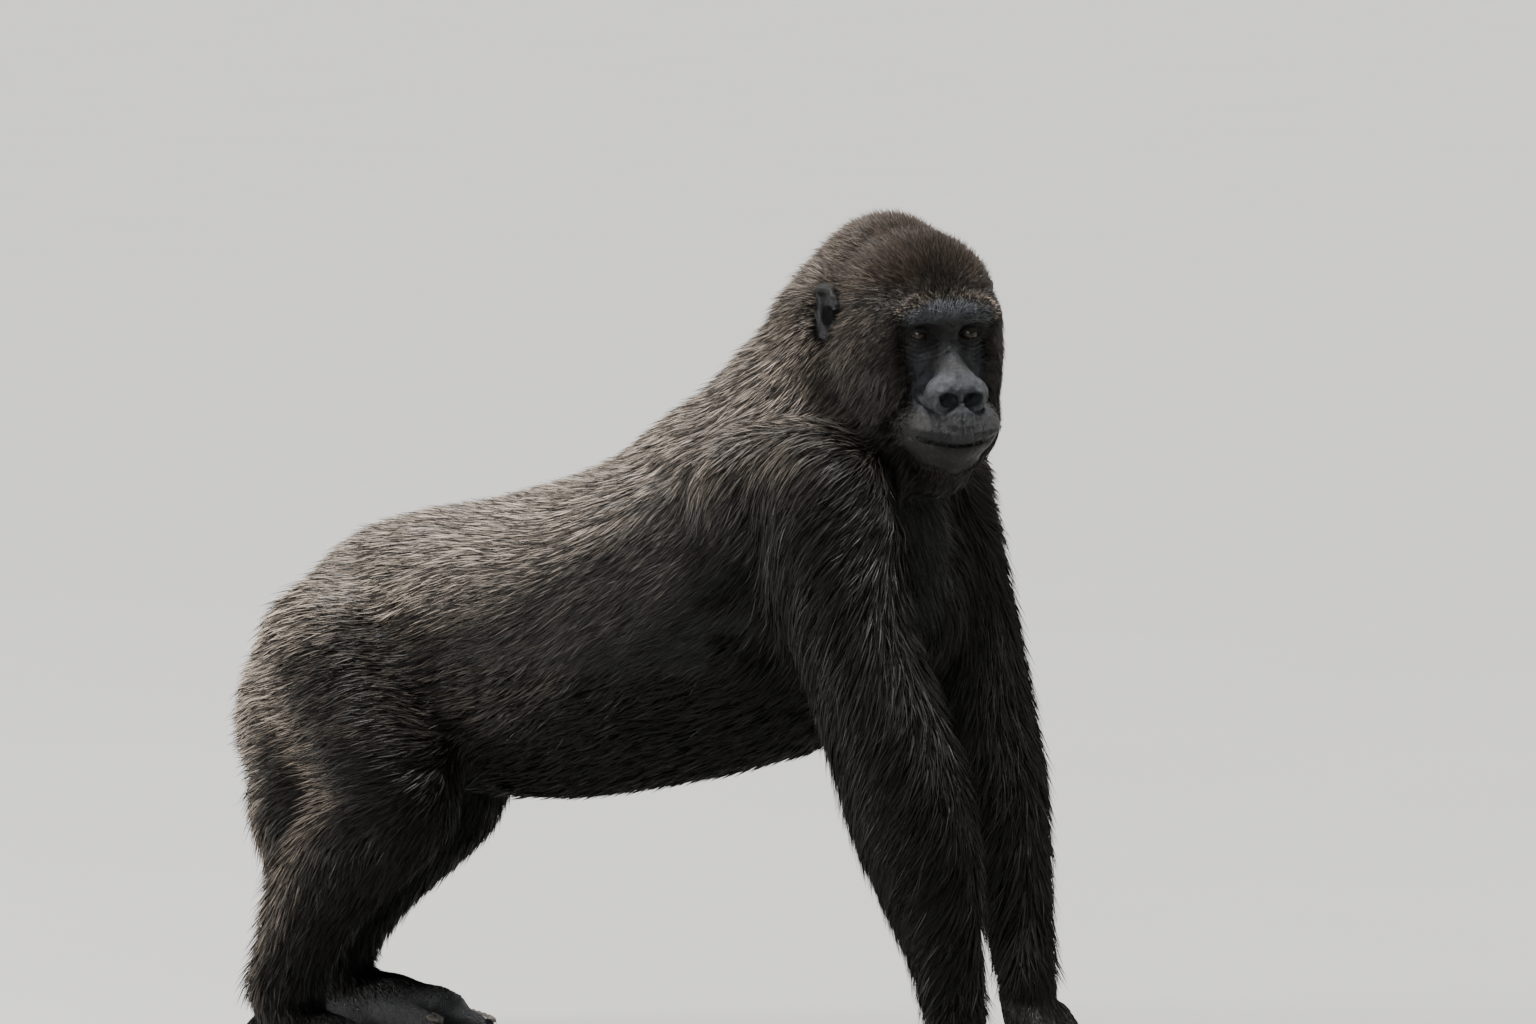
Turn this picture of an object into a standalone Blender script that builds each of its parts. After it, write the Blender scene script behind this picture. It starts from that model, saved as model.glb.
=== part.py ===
"""A young adult western gorilla standing on all fours with its head turned to its right.

The animal faces -Y and stands on z = 0, with its right side towards -X. The surface of the
solids is the outside of the coat. Each region of the body is fused from simple masses, trimmed
where it meets its neighbour, and cut into named parts at the joints of the skeleton.
Lengths are metres and angles are degrees.
"""

import math

import bmesh
import bpy
from mathutils import Matrix, Vector

# --- the stance -------------------------------------------------------------------------------
GAP = 0.0004  # clearance kept between two parts that touch
HEAD_TURN = 41.0  # the head is turned this far to the animal's right
EYE_LEVEL = 0.883
EYES_FORWARD = -0.441  # Y of the point midway between the eyes
EYES_SIDEWAYS = -0.090

RUMP_BACK = 0.474
CHEST_FRONT = -0.385
SHOULDER_HEIGHT = 0.700
HIP_HEIGHT = 0.487

NECK_AXIS = (
    Vector((0.000, -0.090, 0.620)),
    Vector((0.000, -0.185, 0.702)),
    Vector((0.005, -0.243, 0.782)),
    Vector((0.015, -0.284, 0.860)),
)
NECK_RADII = (0.144, 0.139, 0.127, 0.110)

# --- the legs -----------------------------------------------------------------------------------
KNEE_CUT = 0.306  # height of the cut between thighs and shanks
HAMSTRING_SETBACK = Vector((0.0, 0.032, -0.010))  # the back of the thigh, from the line of the leg

# --- the head, measured from the point midway between the pupils --------------------------------
EYE_RADIUS = 0.0125
EYE_SPACING = 0.063
CROWN_RISE = 0.128
CHIN_DROP = 0.163
MUZZLE_HALF_WIDTH = 0.057
NOSE_REACH = 0.049
MUZZLE_REACH = 0.051
SKULL_HALF_WIDTH = 0.087
CHEEK_HALF_WIDTH = 0.104
JAW_HALF_WIDTH = 0.098
BROW_RADIUS = 0.0135
BROW_HALF_WIDTH = 0.056
EAR_OUT = 0.098  # from the middle of the head to the middle of the ear
EAR_HEIGHT = 0.064
EAR_HALF_DEPTH = 0.017
EAR_FLARE = 0.009  # how far the back of the ear stands out beyond its middle
EAR_RIM_RADIUS = 0.0052
EAR_SETBACK = 0.115
EAR_RISE = 0.021

# --- hands and feet -----------------------------------------------------------------------------
FINGER_RADIUS = 0.0145
FINGER_TIP_RADIUS = 0.0119
THUMB_RADIUS = 0.0100
FINGER_COUNT = 4
TOE_COUNT = 4
FOOT_LENGTH = 0.255
NAIL_THICKNESS = 0.0016  # how far a nail stands out of its digit

# --- how finely the fused bodies are faceted ------------------------------------------------------
BODY_TRIANGLES = 2050
HEAD_TRIANGLES = 1650
HAND_TRIANGLES = 370
FOOT_TRIANGLES = 400
EAR_TRIANGLES = 130

FUR_BLACK = (0.020, 0.018, 0.017)
FUR_BROWN = (0.060, 0.048, 0.041)
FUR_CROWN = (0.075, 0.038, 0.026)
SKIN_BLACK = (0.028, 0.029, 0.032)
EYE_BROWN = (0.055, 0.022, 0.010)
NAIL_GREY = (0.050, 0.046, 0.044)


# --- collections and materials ------------------------------------------------------------------
def clear_scene():
    """Remove every object that the scene starts with."""
    for obj in list(bpy.data.objects):
        bpy.data.objects.remove(obj, do_unlink=True)


def new_collection(name):
    """Link and return an empty collection."""
    collection = bpy.data.collections.new(name)
    bpy.context.scene.collection.children.link(collection)
    return collection


def finish(name, colour, roughness):
    """Return a plain Principled material."""
    material = bpy.data.materials.new(name)
    material.use_nodes = True
    shader = material.node_tree.nodes["Principled BSDF"]
    shader.inputs["Base Color"].default_value = (*colour, 1.0)
    shader.inputs["Roughness"].default_value = roughness
    shader.inputs["Metallic"].default_value = 0.0
    return material


# --- simple masses ------------------------------------------------------------------------------
def mass(centre, radii, turn=0.0, fineness=4):
    """An ellipsoid, turned about Z."""
    mesh = bmesh.new()
    bmesh.ops.create_icosphere(mesh, subdivisions=fineness, radius=1.0)
    place = (
        Matrix.Translation(centre)
        @ Matrix.Rotation(math.radians(turn), 4, "Z")
        @ Matrix.Diagonal((*radii, 1.0))
    )
    bmesh.ops.transform(mesh, matrix=place, verts=mesh.verts)
    return mesh


def limb(stations, flatten=None):
    """A tapered tube through (point, radius) stations, with round ends.

    flatten is a matrix that squeezes the finished tube about its first station.
    """
    curve = bpy.data.curves.new("limb", "CURVE")
    curve.dimensions = "3D"
    curve.bevel_depth = 1.0
    curve.bevel_resolution = 6
    curve.resolution_u = 6
    curve.use_fill_caps = True
    spline = curve.splines.new("BEZIER")
    spline.radius_interpolation = "CARDINAL"
    spline.bezier_points.add(len(stations) - 1)
    for point, (place, radius) in zip(spline.bezier_points, stations):
        point.co = place
        point.radius = radius
        point.handle_left_type = "AUTO"
        point.handle_right_type = "AUTO"
    holder = bpy.data.objects.new("limb", curve)
    bpy.context.scene.collection.objects.link(holder)
    graph = bpy.context.evaluated_depsgraph_get()
    tube = bpy.data.meshes.new_from_object(holder.evaluated_get(graph))
    mesh = bmesh.new()
    mesh.from_mesh(tube)
    bpy.data.objects.remove(holder, do_unlink=True)
    bpy.data.meshes.remove(tube)
    bmesh.ops.remove_doubles(mesh, verts=mesh.verts, dist=0.00001)
    if flatten is not None:
        pivot = Matrix.Translation(stations[0][0])
        bmesh.ops.transform(mesh, matrix=pivot @ flatten @ pivot.inverted(), verts=mesh.verts)
    for place, radius in (stations[0], stations[-1]):
        matrix = Matrix.Translation(place)
        bmesh.ops.create_icosphere(mesh, subdivisions=3, radius=radius, matrix=matrix)
    return mesh


def barrel(stations, sides=32, squareness=2.15):
    """A closed body along Y through (y, bottom, top, half width) stations."""
    mesh = bmesh.new()
    rings = []
    for y, bottom, top, half_width in stations:
        ring = []
        for step in range(sides):
            angle = 2.0 * math.pi * step / sides
            x = math.copysign(abs(math.cos(angle)) ** (2.0 / squareness), math.cos(angle))
            z = math.copysign(abs(math.sin(angle)) ** (2.0 / squareness), math.sin(angle))
            height = (bottom + top) / 2.0 + z * (top - bottom) / 2.0
            ring.append(mesh.verts.new((x * half_width, y, height)))
        rings.append(ring)
    for ring, following in zip(rings, rings[1:]):
        for step in range(sides):
            beside = (step + 1) % sides
            mesh.faces.new((ring[step], ring[beside], following[beside], following[step]))
    mesh.faces.new(rings[0])
    mesh.faces.new(rings[-1])
    bmesh.ops.recalc_face_normals(mesh, faces=mesh.faces)
    return mesh


# --- working with solids ------------------------------------------------------------------------
class Workshop:
    """Makes named solids and keeps them in the animal's collection."""

    def __init__(self, name):
        self.parts = new_collection(name)
        self.cutters = new_collection(name + "_cutters")

    def add(self, name, mesh, collection=None):
        """Turn a bmesh into an object."""
        data = bpy.data.meshes.new(name)
        mesh.to_mesh(data)
        mesh.free()
        obj = bpy.data.objects.new(name, data)
        (collection or self.parts).objects.link(obj)
        return obj

    def settle(self, obj):
        """Apply the object's modifiers."""
        graph = bpy.context.evaluated_depsgraph_get()
        data = bpy.data.meshes.new_from_object(obj.evaluated_get(graph))
        old = obj.data
        obj.modifiers.clear()
        obj.data = data
        bpy.data.meshes.remove(old)
        return obj

    def fuse(self, name, masses, voxel, smoothing, triangles):
        """Fuse overlapping masses into one smooth solid with about this many triangles."""
        joined = bmesh.new()
        for piece in masses:
            data = bpy.data.meshes.new("mass")
            piece.to_mesh(data)
            piece.free()
            joined.from_mesh(data)
            bpy.data.meshes.remove(data)
        obj = self.add(name, joined)
        remesh = obj.modifiers.new("Fuse", "REMESH")
        remesh.mode = "VOXEL"
        remesh.voxel_size = voxel
        smooth = obj.modifiers.new("Smooth", "SMOOTH")
        smooth.factor = 0.5
        smooth.iterations = smoothing
        self.settle(obj)
        count = sum(len(face.vertices) - 2 for face in obj.data.polygons)
        decimate = obj.modifiers.new("Lighten", "DECIMATE")
        decimate.ratio = triangles / count
        self.settle(obj)
        keep_largest(obj)
        return obj

    def cutter(self, name, mesh):
        """A hidden helper."""
        obj = self.add(name, mesh, self.cutters)
        obj.hide_render = True
        obj.display_type = "WIRE"
        return obj

    def carve(self, obj, tool):
        """Take a tool away from an object and keep the largest body that is left."""
        cut = obj.modifiers.new("Carve", "BOOLEAN")
        cut.operation = "DIFFERENCE"
        cut.solver = "EXACT"
        cut.object = tool
        self.settle(obj)
        keep_largest(obj)

    def clear_of(self, obj, *neighbours, gap=GAP):
        """Trim an object so that it stays one gap away from its neighbours."""
        for neighbour in neighbours:
            mesh = bmesh.new()
            mesh.from_mesh(neighbour.data)
            swollen = self.cutter(neighbour.name + "_clearance", mesh)
            swell = swollen.modifiers.new("Swell", "DISPLACE")
            swell.strength = gap
            swell.mid_level = 0.0
            self.settle(swollen)
            self.carve(obj, swollen)
            bpy.data.objects.remove(swollen, do_unlink=True)

    def part_at(self, obj, point, normal, front_name, one_body=True):
        """Cut an object across a plane. The side that the normal points to becomes front_name.

        one_body is False where that side is a pair of bodies that is split later.
        """
        normal = Vector(normal).normalized()
        front = bpy.data.objects.new(front_name, obj.data.copy())
        self.parts.objects.link(front)
        for piece, side in ((obj, 1.0), (front, -1.0)):
            mesh = bmesh.new()
            mesh.from_mesh(piece.data)
            cut = bmesh.ops.bisect_plane(
                mesh,
                geom=mesh.verts[:] + mesh.edges[:] + mesh.faces[:],
                dist=0.000001,
                plane_co=Vector(point) - side * normal * GAP / 2.0,
                plane_no=normal * side,
                clear_outer=True,
            )
            rim = [edge for edge in cut["geom_cut"] if isinstance(edge, bmesh.types.BMEdge)]
            bmesh.ops.holes_fill(mesh, edges=rim)
            bmesh.ops.triangulate(mesh, faces=mesh.faces)
            mesh.to_mesh(piece.data)
            mesh.free()
            if one_body or piece is obj:
                keep_largest(piece)
        return front


def keep_largest(obj):
    """Drop every loose fragment but the one with the most faces, and clean the mesh."""
    mesh = bmesh.new()
    mesh.from_mesh(obj.data)
    bmesh.ops.remove_doubles(mesh, verts=mesh.verts, dist=0.00002)
    bmesh.ops.dissolve_degenerate(mesh, edges=mesh.edges, dist=0.00002)
    bmesh.ops.triangulate(mesh, faces=mesh.faces)
    waiting = set(mesh.verts)
    largest = []
    while waiting:
        start = waiting.pop()
        group = [start]
        frontier = [start]
        while frontier:
            vertex = frontier.pop()
            for edge in vertex.link_edges:
                other = edge.other_vert(vertex)
                if other in waiting:
                    waiting.remove(other)
                    group.append(other)
                    frontier.append(other)
        if len(group) > len(largest):
            largest = group
    kept = set(largest)
    loose = [vertex for vertex in mesh.verts if vertex not in kept]
    bmesh.ops.delete(mesh, geom=loose, context="VERTS")
    bmesh.ops.recalc_face_normals(mesh, faces=mesh.faces)
    mesh.to_mesh(obj.data)
    mesh.free()


def dress(obj, material):
    """Give an object one material and shade it smooth."""
    obj.data.materials.clear()
    obj.data.materials.append(material)
    obj.data.shade_smooth()


def stand_over_origin(collection):
    """Move every part sideways so that the box round the whole animal is centred on the origin."""
    places = [vertex.co for obj in collection.objects for vertex in obj.data.vertices]
    across = [place.x for place in places]
    along = [place.y for place in places]
    middle = ((min(across) + max(across)) / 2.0, (min(along) + max(along)) / 2.0, 0.0)
    for obj in collection.objects:
        obj.data.transform(Matrix.Translation(middle).inverted())


# --- the trunk and neck -------------------------------------------------------------------------
def trunk_masses():
    """Rib cage, belly, loins, buttocks and shoulder blades."""
    stations = [
        (RUMP_BACK - 0.014, 0.400, 0.462, 0.050),
        (RUMP_BACK - 0.050, 0.370, 0.545, 0.100),
        (0.365, 0.345, 0.620, 0.140),
        (0.280, 0.325, 0.652, 0.166),
        (0.187, 0.312, 0.667, 0.184),
        (0.080, 0.312, 0.697, 0.198),
        (-0.020, 0.328, 0.738, 0.203),
        (-0.120, 0.350, 0.765, 0.198),
        (-0.220, 0.378, 0.775, 0.180),
        (-0.310, 0.425, 0.755, 0.145),
        (CHEST_FRONT + 0.015, 0.500, 0.700, 0.095),
    ]
    masses = [barrel(stations)]
    for side in (-1.0, 1.0):
        masses.append(mass((side * 0.085, 0.368, 0.405), (0.095, 0.108, 0.118)))
        masses.append(mass((side * 0.115, -0.235, 0.690), (0.090, 0.120, 0.090)))
        masses.append(mass((side * 0.080, -0.300, 0.560), (0.085, 0.085, 0.110)))
    rim = NECK_AXIS[1].lerp(NECK_AXIS[2], 0.12)
    stub = NECK_AXIS[1].lerp(NECK_AXIS[2], 0.34)
    masses.append(limb([(NECK_AXIS[0], 0.150), (rim, NECK_RADII[1]), (stub, 0.100)]))
    return masses


def neck_masses():
    """The thick neck, which climbs from the withers to the back of the skull."""
    return [limb(list(zip(NECK_AXIS, NECK_RADII)))]


# --- the head -----------------------------------------------------------------------------------
def head_frame():
    """Matrix from (sideways, forwards, up) about the eyes to the animal's own axes."""
    turn = math.radians(HEAD_TURN)
    left = Vector((math.cos(turn), -math.sin(turn), 0.0))
    forward = Vector((-math.sin(turn), -math.cos(turn), 0.0))
    up = Vector((0.0, 0.0, 1.0))
    matrix = Matrix((left, forward, up)).transposed().to_4x4()
    matrix.translation = (EYES_SIDEWAYS, EYES_FORWARD, EYE_LEVEL)
    return matrix


def head_mass(centre, radii, fineness=4):
    """An ellipsoid given in the head's own axes."""
    place = head_frame() @ Vector(centre)
    return mass(place, radii, turn=-HEAD_TURN, fineness=fineness)


def head_limb(stations):
    """A tube given in the head's own axes."""
    frame = head_frame()
    return limb([(frame @ Vector(place), radius) for place, radius in stations])


def head_masses():
    """Skull, crown, brow, cheeks, muzzle, nose, chin and the hair of the jaw."""
    masses = [
        head_mass((0.0, -0.088, 0.030), (SKULL_HALF_WIDTH, 0.100, 0.084)),
        head_mass((0.0, -0.168, CROWN_RISE - 0.074), (0.068, 0.110, 0.076)),
        head_mass((0.0, -0.192, 0.005), (0.094, 0.112, 0.112)),
        head_mass((0.0, -0.077, -0.022), (CHEEK_HALF_WIDTH, 0.067, 0.104)),
        head_mass((0.0, -0.082, -0.100), (JAW_HALF_WIDTH, 0.074, 0.085)),
        head_mass((0.0, -0.040, -0.030), (0.068, 0.046, 0.075)),
        head_mass((0.0, MUZZLE_REACH - 0.045, -0.103), (MUZZLE_HALF_WIDTH, 0.045, 0.046)),
        head_mass((0.0, -0.004, 0.034 - CHIN_DROP), (0.044, 0.043, 0.034)),
        head_mass((0.0, NOSE_REACH - 0.023, -0.066), (0.035, 0.023, 0.022)),
        head_mass((0.0, -0.052, -0.153), (0.058, 0.060, 0.042)),
    ]
    for side in (-1.0, 1.0):
        masses.append(head_mass((side * 0.046, -0.032, -0.052), (0.032, 0.036, 0.046)))
        masses.append(head_mass((side * 0.052, -0.048, 0.012), (0.034, 0.044, 0.036)))
        masses.append(head_mass((side * 0.050, -0.060, -0.105), (0.040, 0.055, 0.056)))
    brow = []
    for share in (-1.0, -0.5, 0.0, 0.5, 1.0):
        bend = share * share
        place = (share * BROW_HALF_WIDTH, 0.012 - 0.032 * bend, 0.026 - 0.006 * bend)
        brow.append((place, BROW_RADIUS))
    masses.append(head_limb(brow))
    bridge = [((0.0, 0.000, 0.018), 0.012), ((0.0, 0.006, -0.015), 0.011)]
    bridge.append(((0.0, 0.018, -0.046), 0.015))
    masses.append(head_limb(bridge))
    return masses


def eye_centre(side):
    """Centre of an eyeball. The pupil lies on the plane that the head is measured from."""
    return head_frame() @ Vector((side * EYE_SPACING / 2.0, -EYE_RADIUS, 0.0))


def eye_ball(side, radius):
    """An eyeball."""
    mesh = bmesh.new()
    bmesh.ops.create_uvsphere(mesh, u_segments=12, v_segments=8, radius=radius)
    place = Matrix.Translation(eye_centre(side)) @ Matrix.Rotation(math.pi / 2.0, 4, "X")
    bmesh.ops.transform(mesh, matrix=place, verts=mesh.verts)
    return mesh


def orbit(side):
    """The hollow that the eye looks out of, below the brow."""
    return head_mass((side * EYE_SPACING / 2.0, 0.006, -0.002), (0.020, 0.017, 0.0125), fineness=2)


def ear_masses(side):
    """The rim and lobe of an ear, round a hollow that opens forwards and outwards."""
    masses = []
    steps = 9
    rim = []
    for step in range(steps):
        angle = math.radians(-115.0 + 250.0 * step / (steps - 1))
        back = -EAR_SETBACK - EAR_HALF_DEPTH * math.cos(angle)
        rise = EAR_RISE + (EAR_HEIGHT / 2.0 - EAR_RIM_RADIUS) * math.sin(angle)
        out = EAR_OUT + EAR_FLARE * math.cos(angle)
        rim.append(((side * out, back, rise), EAR_RIM_RADIUS))
    masses.append(head_limb(rim))
    masses.append(
        head_mass(
            (side * EAR_OUT, -EAR_SETBACK - 0.002, EAR_RISE),
            (0.009, 0.018, EAR_HEIGHT / 2.0 - EAR_RIM_RADIUS),
        )
    )
    return masses


# --- the limbs ----------------------------------------------------------------------------------
class Limb:
    """One limb: its side of the body and the places that its bones pass through.

    seat and facing give the plane where the limb leaves the trunk.
    """

    def __init__(self, name, side, **places):
        self.name = name
        self.side = side
        for key, place in places.items():
            setattr(self, key, Vector((side * place[0], place[1], place[2])))


ARMS = (
    Limb(
        "right", -1.0,
        shoulder=(0.158, -0.322, SHOULDER_HEIGHT), middle=(0.184, -0.368, 0.560),
        elbow=(0.188, -0.430, 0.395), bulge=(0.182, -0.455, 0.310),
        lower=(0.168, -0.478, 0.200), wrist=(0.160, -0.486, 0.128),
        seat=(0.128, -0.300, 0.660), facing=(0.800, -0.590, 0.060),
    ),
    Limb(
        "left", 1.0,
        shoulder=(0.158, -0.296, SHOULDER_HEIGHT), middle=(0.186, -0.318, 0.560),
        elbow=(0.194, -0.345, 0.395), bulge=(0.190, -0.366, 0.310),
        lower=(0.176, -0.402, 0.200), wrist=(0.166, -0.420, 0.128),
        seat=(0.128, -0.280, 0.660), facing=(0.800, -0.590, 0.060),
    ),
)
LEGS = (
    Limb(
        "right", -1.0,
        hip=(0.105, 0.342, HIP_HEIGHT), middle=(0.155, 0.275, 0.415),
        knee=(0.184, 0.212, 0.322), calf=(0.172, 0.308, 0.240),
        shin=(0.162, 0.356, 0.165), ankle=(0.156, 0.386, 0.085),
        seat=(0.010, 0.430, 0.330), facing=(0.840, 0.480, -0.256),
    ),
    Limb(
        "left", 1.0,
        hip=(0.105, 0.350, HIP_HEIGHT), middle=(0.148, 0.340, 0.405),
        knee=(0.172, 0.345, 0.290), calf=(0.168, 0.415, 0.225),
        shin=(0.165, 0.465, 0.155), ankle=(0.165, 0.500, 0.085),
        seat=(0.010, 0.450, 0.300), facing=(0.820, 0.549, -0.163),
    ),
)


def arm_masses(arm):
    """Shoulder muscle, upper arm and forearm with their hanging hair."""
    inward = Vector((-arm.side * 0.035, 0.030, 0.0))
    return [
        mass(arm.shoulder + inward * 0.6, (0.088, 0.098, 0.088)),
        mass(arm.middle.lerp(arm.shoulder, 0.45) + inward * 0.3, (0.076, 0.090, 0.130)),
        limb(
            [
                (arm.shoulder, 0.082),
                (arm.middle, 0.074),
                (arm.elbow, 0.078),
                (arm.bulge, 0.076),
                (arm.lower, 0.055),
                (arm.wrist, 0.041),
                (arm.wrist - Vector((0.0, 0.0, 0.035)), 0.038),
            ]
        ),
    ]


def leg_masses(leg):
    """Thigh, knee, calf and ankle with their hair."""
    return [
        mass(leg.hip.lerp(leg.middle, 0.4), (0.096, 0.100, 0.105)),
        mass(leg.calf.lerp(leg.hip, 0.62) + HAMSTRING_SETBACK * 0.55, (0.084, 0.092, 0.110)),
        mass(leg.calf.lerp(leg.hip, 0.38) + HAMSTRING_SETBACK, (0.068, 0.078, 0.120)),
        limb(
            [
                (leg.hip, 0.094),
                (leg.middle, 0.092),
                (leg.knee, 0.072),
                (leg.knee.lerp(leg.calf, 0.45), 0.072),
                (leg.calf, 0.070),
                (leg.shin, 0.055),
                (leg.ankle, 0.044),
                (leg.ankle - Vector((0.0, 0.0, 0.030)), 0.042),
            ]
        ),
    ]


def finger_path(arm, across):
    """Joints of one finger of a hand that walks on its knuckles.

    across runs from 0 at the index finger to 1 at the little finger. The finger comes down
    from the palm, meets the ground along its middle bone and curls back towards the palm.
    """
    outward = arm.side * (across - 0.42) * 0.088
    shorter = 1.0 - 0.22 * abs(across - 0.35)
    base = arm.wrist + Vector((outward * 0.75, -0.022, -0.058))
    knuckle = arm.wrist + Vector((outward, -0.046 * shorter, 0.0))
    knuckle.z = FINGER_RADIUS + 0.012
    middle = knuckle + Vector((0.0, 0.040 * shorter, 0.0))
    middle.z = FINGER_RADIUS - 0.0015
    tip = middle + Vector((0.0, 0.014, 0.026 * shorter))
    return base, knuckle, middle, tip


def thumb_path(arm):
    """Joints of the short thumb, which hangs on the inner side of the hand."""
    root = arm.wrist + Vector((-arm.side * 0.026, 0.004, -0.030))
    joint = root + Vector((-arm.side * 0.018, -0.012, -0.030))
    return root, joint, joint + Vector((-arm.side * 0.004, -0.010, -0.026))


def hand_masses(arm):
    """Palm, four flexed fingers and thumb."""
    masses = [
        limb(
            [
                (arm.wrist + Vector((0.0, 0.0, 0.025)), 0.036),
                (arm.wrist, 0.034),
                (arm.wrist + Vector((0.0, -0.010, -0.030)), 0.034),
                (arm.wrist + Vector((0.0, -0.020, -0.058)), 0.024),
            ],
            flatten=Matrix.Diagonal((1.25, 0.80, 1.0, 1.0)),
        )
    ]
    for number in range(FINGER_COUNT):
        base, knuckle, middle, tip = finger_path(arm, number / (FINGER_COUNT - 1.0))
        masses.append(
            limb(
                [
                    (base, FINGER_RADIUS * 1.10),
                    (knuckle, FINGER_RADIUS * 1.02),
                    (middle, FINGER_RADIUS * 0.95),
                    (tip, FINGER_TIP_RADIUS),
                ]
            )
        )
    root, joint, tip = thumb_path(arm)
    masses.append(limb([(root, 0.017), (joint, 0.0125), (tip, THUMB_RADIUS)]))
    return masses


def foot_axes(leg):
    """Forward and sideways directions of a foot, which points a little outwards."""
    turn = math.radians(12.0)
    forward = Vector((leg.side * math.sin(turn), -math.cos(turn), 0.0))
    outward = Vector((leg.side * math.cos(turn), math.sin(turn), 0.0))
    return forward, outward


def toe_path(leg, number):
    """Joints of a toe. Number 0 is the big toe, which stands apart on the inner side."""
    forward, outward = foot_axes(leg)
    heel = leg.ankle + forward * -0.050
    heel.z = 0.0
    if number == 0:
        base = heel + forward * FOOT_LENGTH * 0.50 - outward * 0.030
        splay = (forward * 0.88 - outward * 0.47).normalized()
        reach = 0.072
        radius = 0.0165
    else:
        across = (number - 1.0) / (TOE_COUNT - 1.0)
        base = heel + forward * FOOT_LENGTH * (0.70 - 0.10 * across)
        base += outward * (-0.012 + 0.056 * across)
        splay = (forward + outward * 0.16 * (across - 0.2)).normalized()
        reach = 0.066 - 0.014 * across
        radius = 0.0128 - 0.0016 * across
    base.z = radius + 0.010
    joint = base + splay * reach * 0.55
    joint.z = radius + 0.006
    tip = base + splay * reach
    tip.z = radius - 0.0012
    return base, joint, tip, radius


def foot_masses(leg):
    """Heel, sole, instep, ankle and five toes."""
    forward, outward = foot_axes(leg)
    ground = leg.ankle.copy()
    ground.z = 0.0
    heel = ground - forward * 0.020 + Vector((0.0, 0.0, 0.030))
    ball = ground + forward * 0.105 + outward * 0.006 + Vector((0.0, 0.0, 0.026))
    turn = math.degrees(math.atan2(forward.x, -forward.y))
    masses = [
        mass(heel, (0.036, 0.040, 0.034), turn=turn),
        mass(ground + forward * 0.045 + Vector((0, 0, 0.034)), (0.040, 0.080, 0.037), turn=turn),
        mass(ball, (0.047, 0.058, 0.029), turn=turn),
        limb(
            [
                (leg.ankle + Vector((0.0, 0.0, 0.030)), 0.042),
                (leg.ankle, 0.040),
                (ground + forward * 0.020 + Vector((0.0, 0.0, 0.045)), 0.037),
            ]
        ),
    ]
    for number in range(TOE_COUNT + 1):
        base, joint, tip, radius = toe_path(leg, number)
        masses.append(limb([(base, radius * 1.25), (joint, radius), (tip, radius * 0.92)]))
    return masses


def nail(workshop, name, tip, along, up, radius, bed):
    """A nail: the top of a small ellipsoid that stands out of the digit it grows on.

    radius is the radius of the digit at its tip, and bed is the hand or foot.
    """
    along = Vector(along).normalized()
    across = along.cross(Vector(up)).normalized()
    lift = across.cross(along)
    half_height = radius * 0.55
    mesh = bmesh.new()
    bmesh.ops.create_icosphere(mesh, subdivisions=1, radius=1.0)
    matrix = Matrix((across, along, lift)).transposed().to_4x4()
    matrix.translation = tip + lift * (radius + NAIL_THICKNESS - half_height)
    shape = Matrix.Diagonal((radius * 0.80, radius * 0.98, half_height, 1.0))
    bmesh.ops.transform(mesh, matrix=matrix @ shape, verts=mesh.verts)
    obj = workshop.add(name, mesh)
    keep_largest(obj)
    workshop.clear_of(obj, bed)
    return obj


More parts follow.
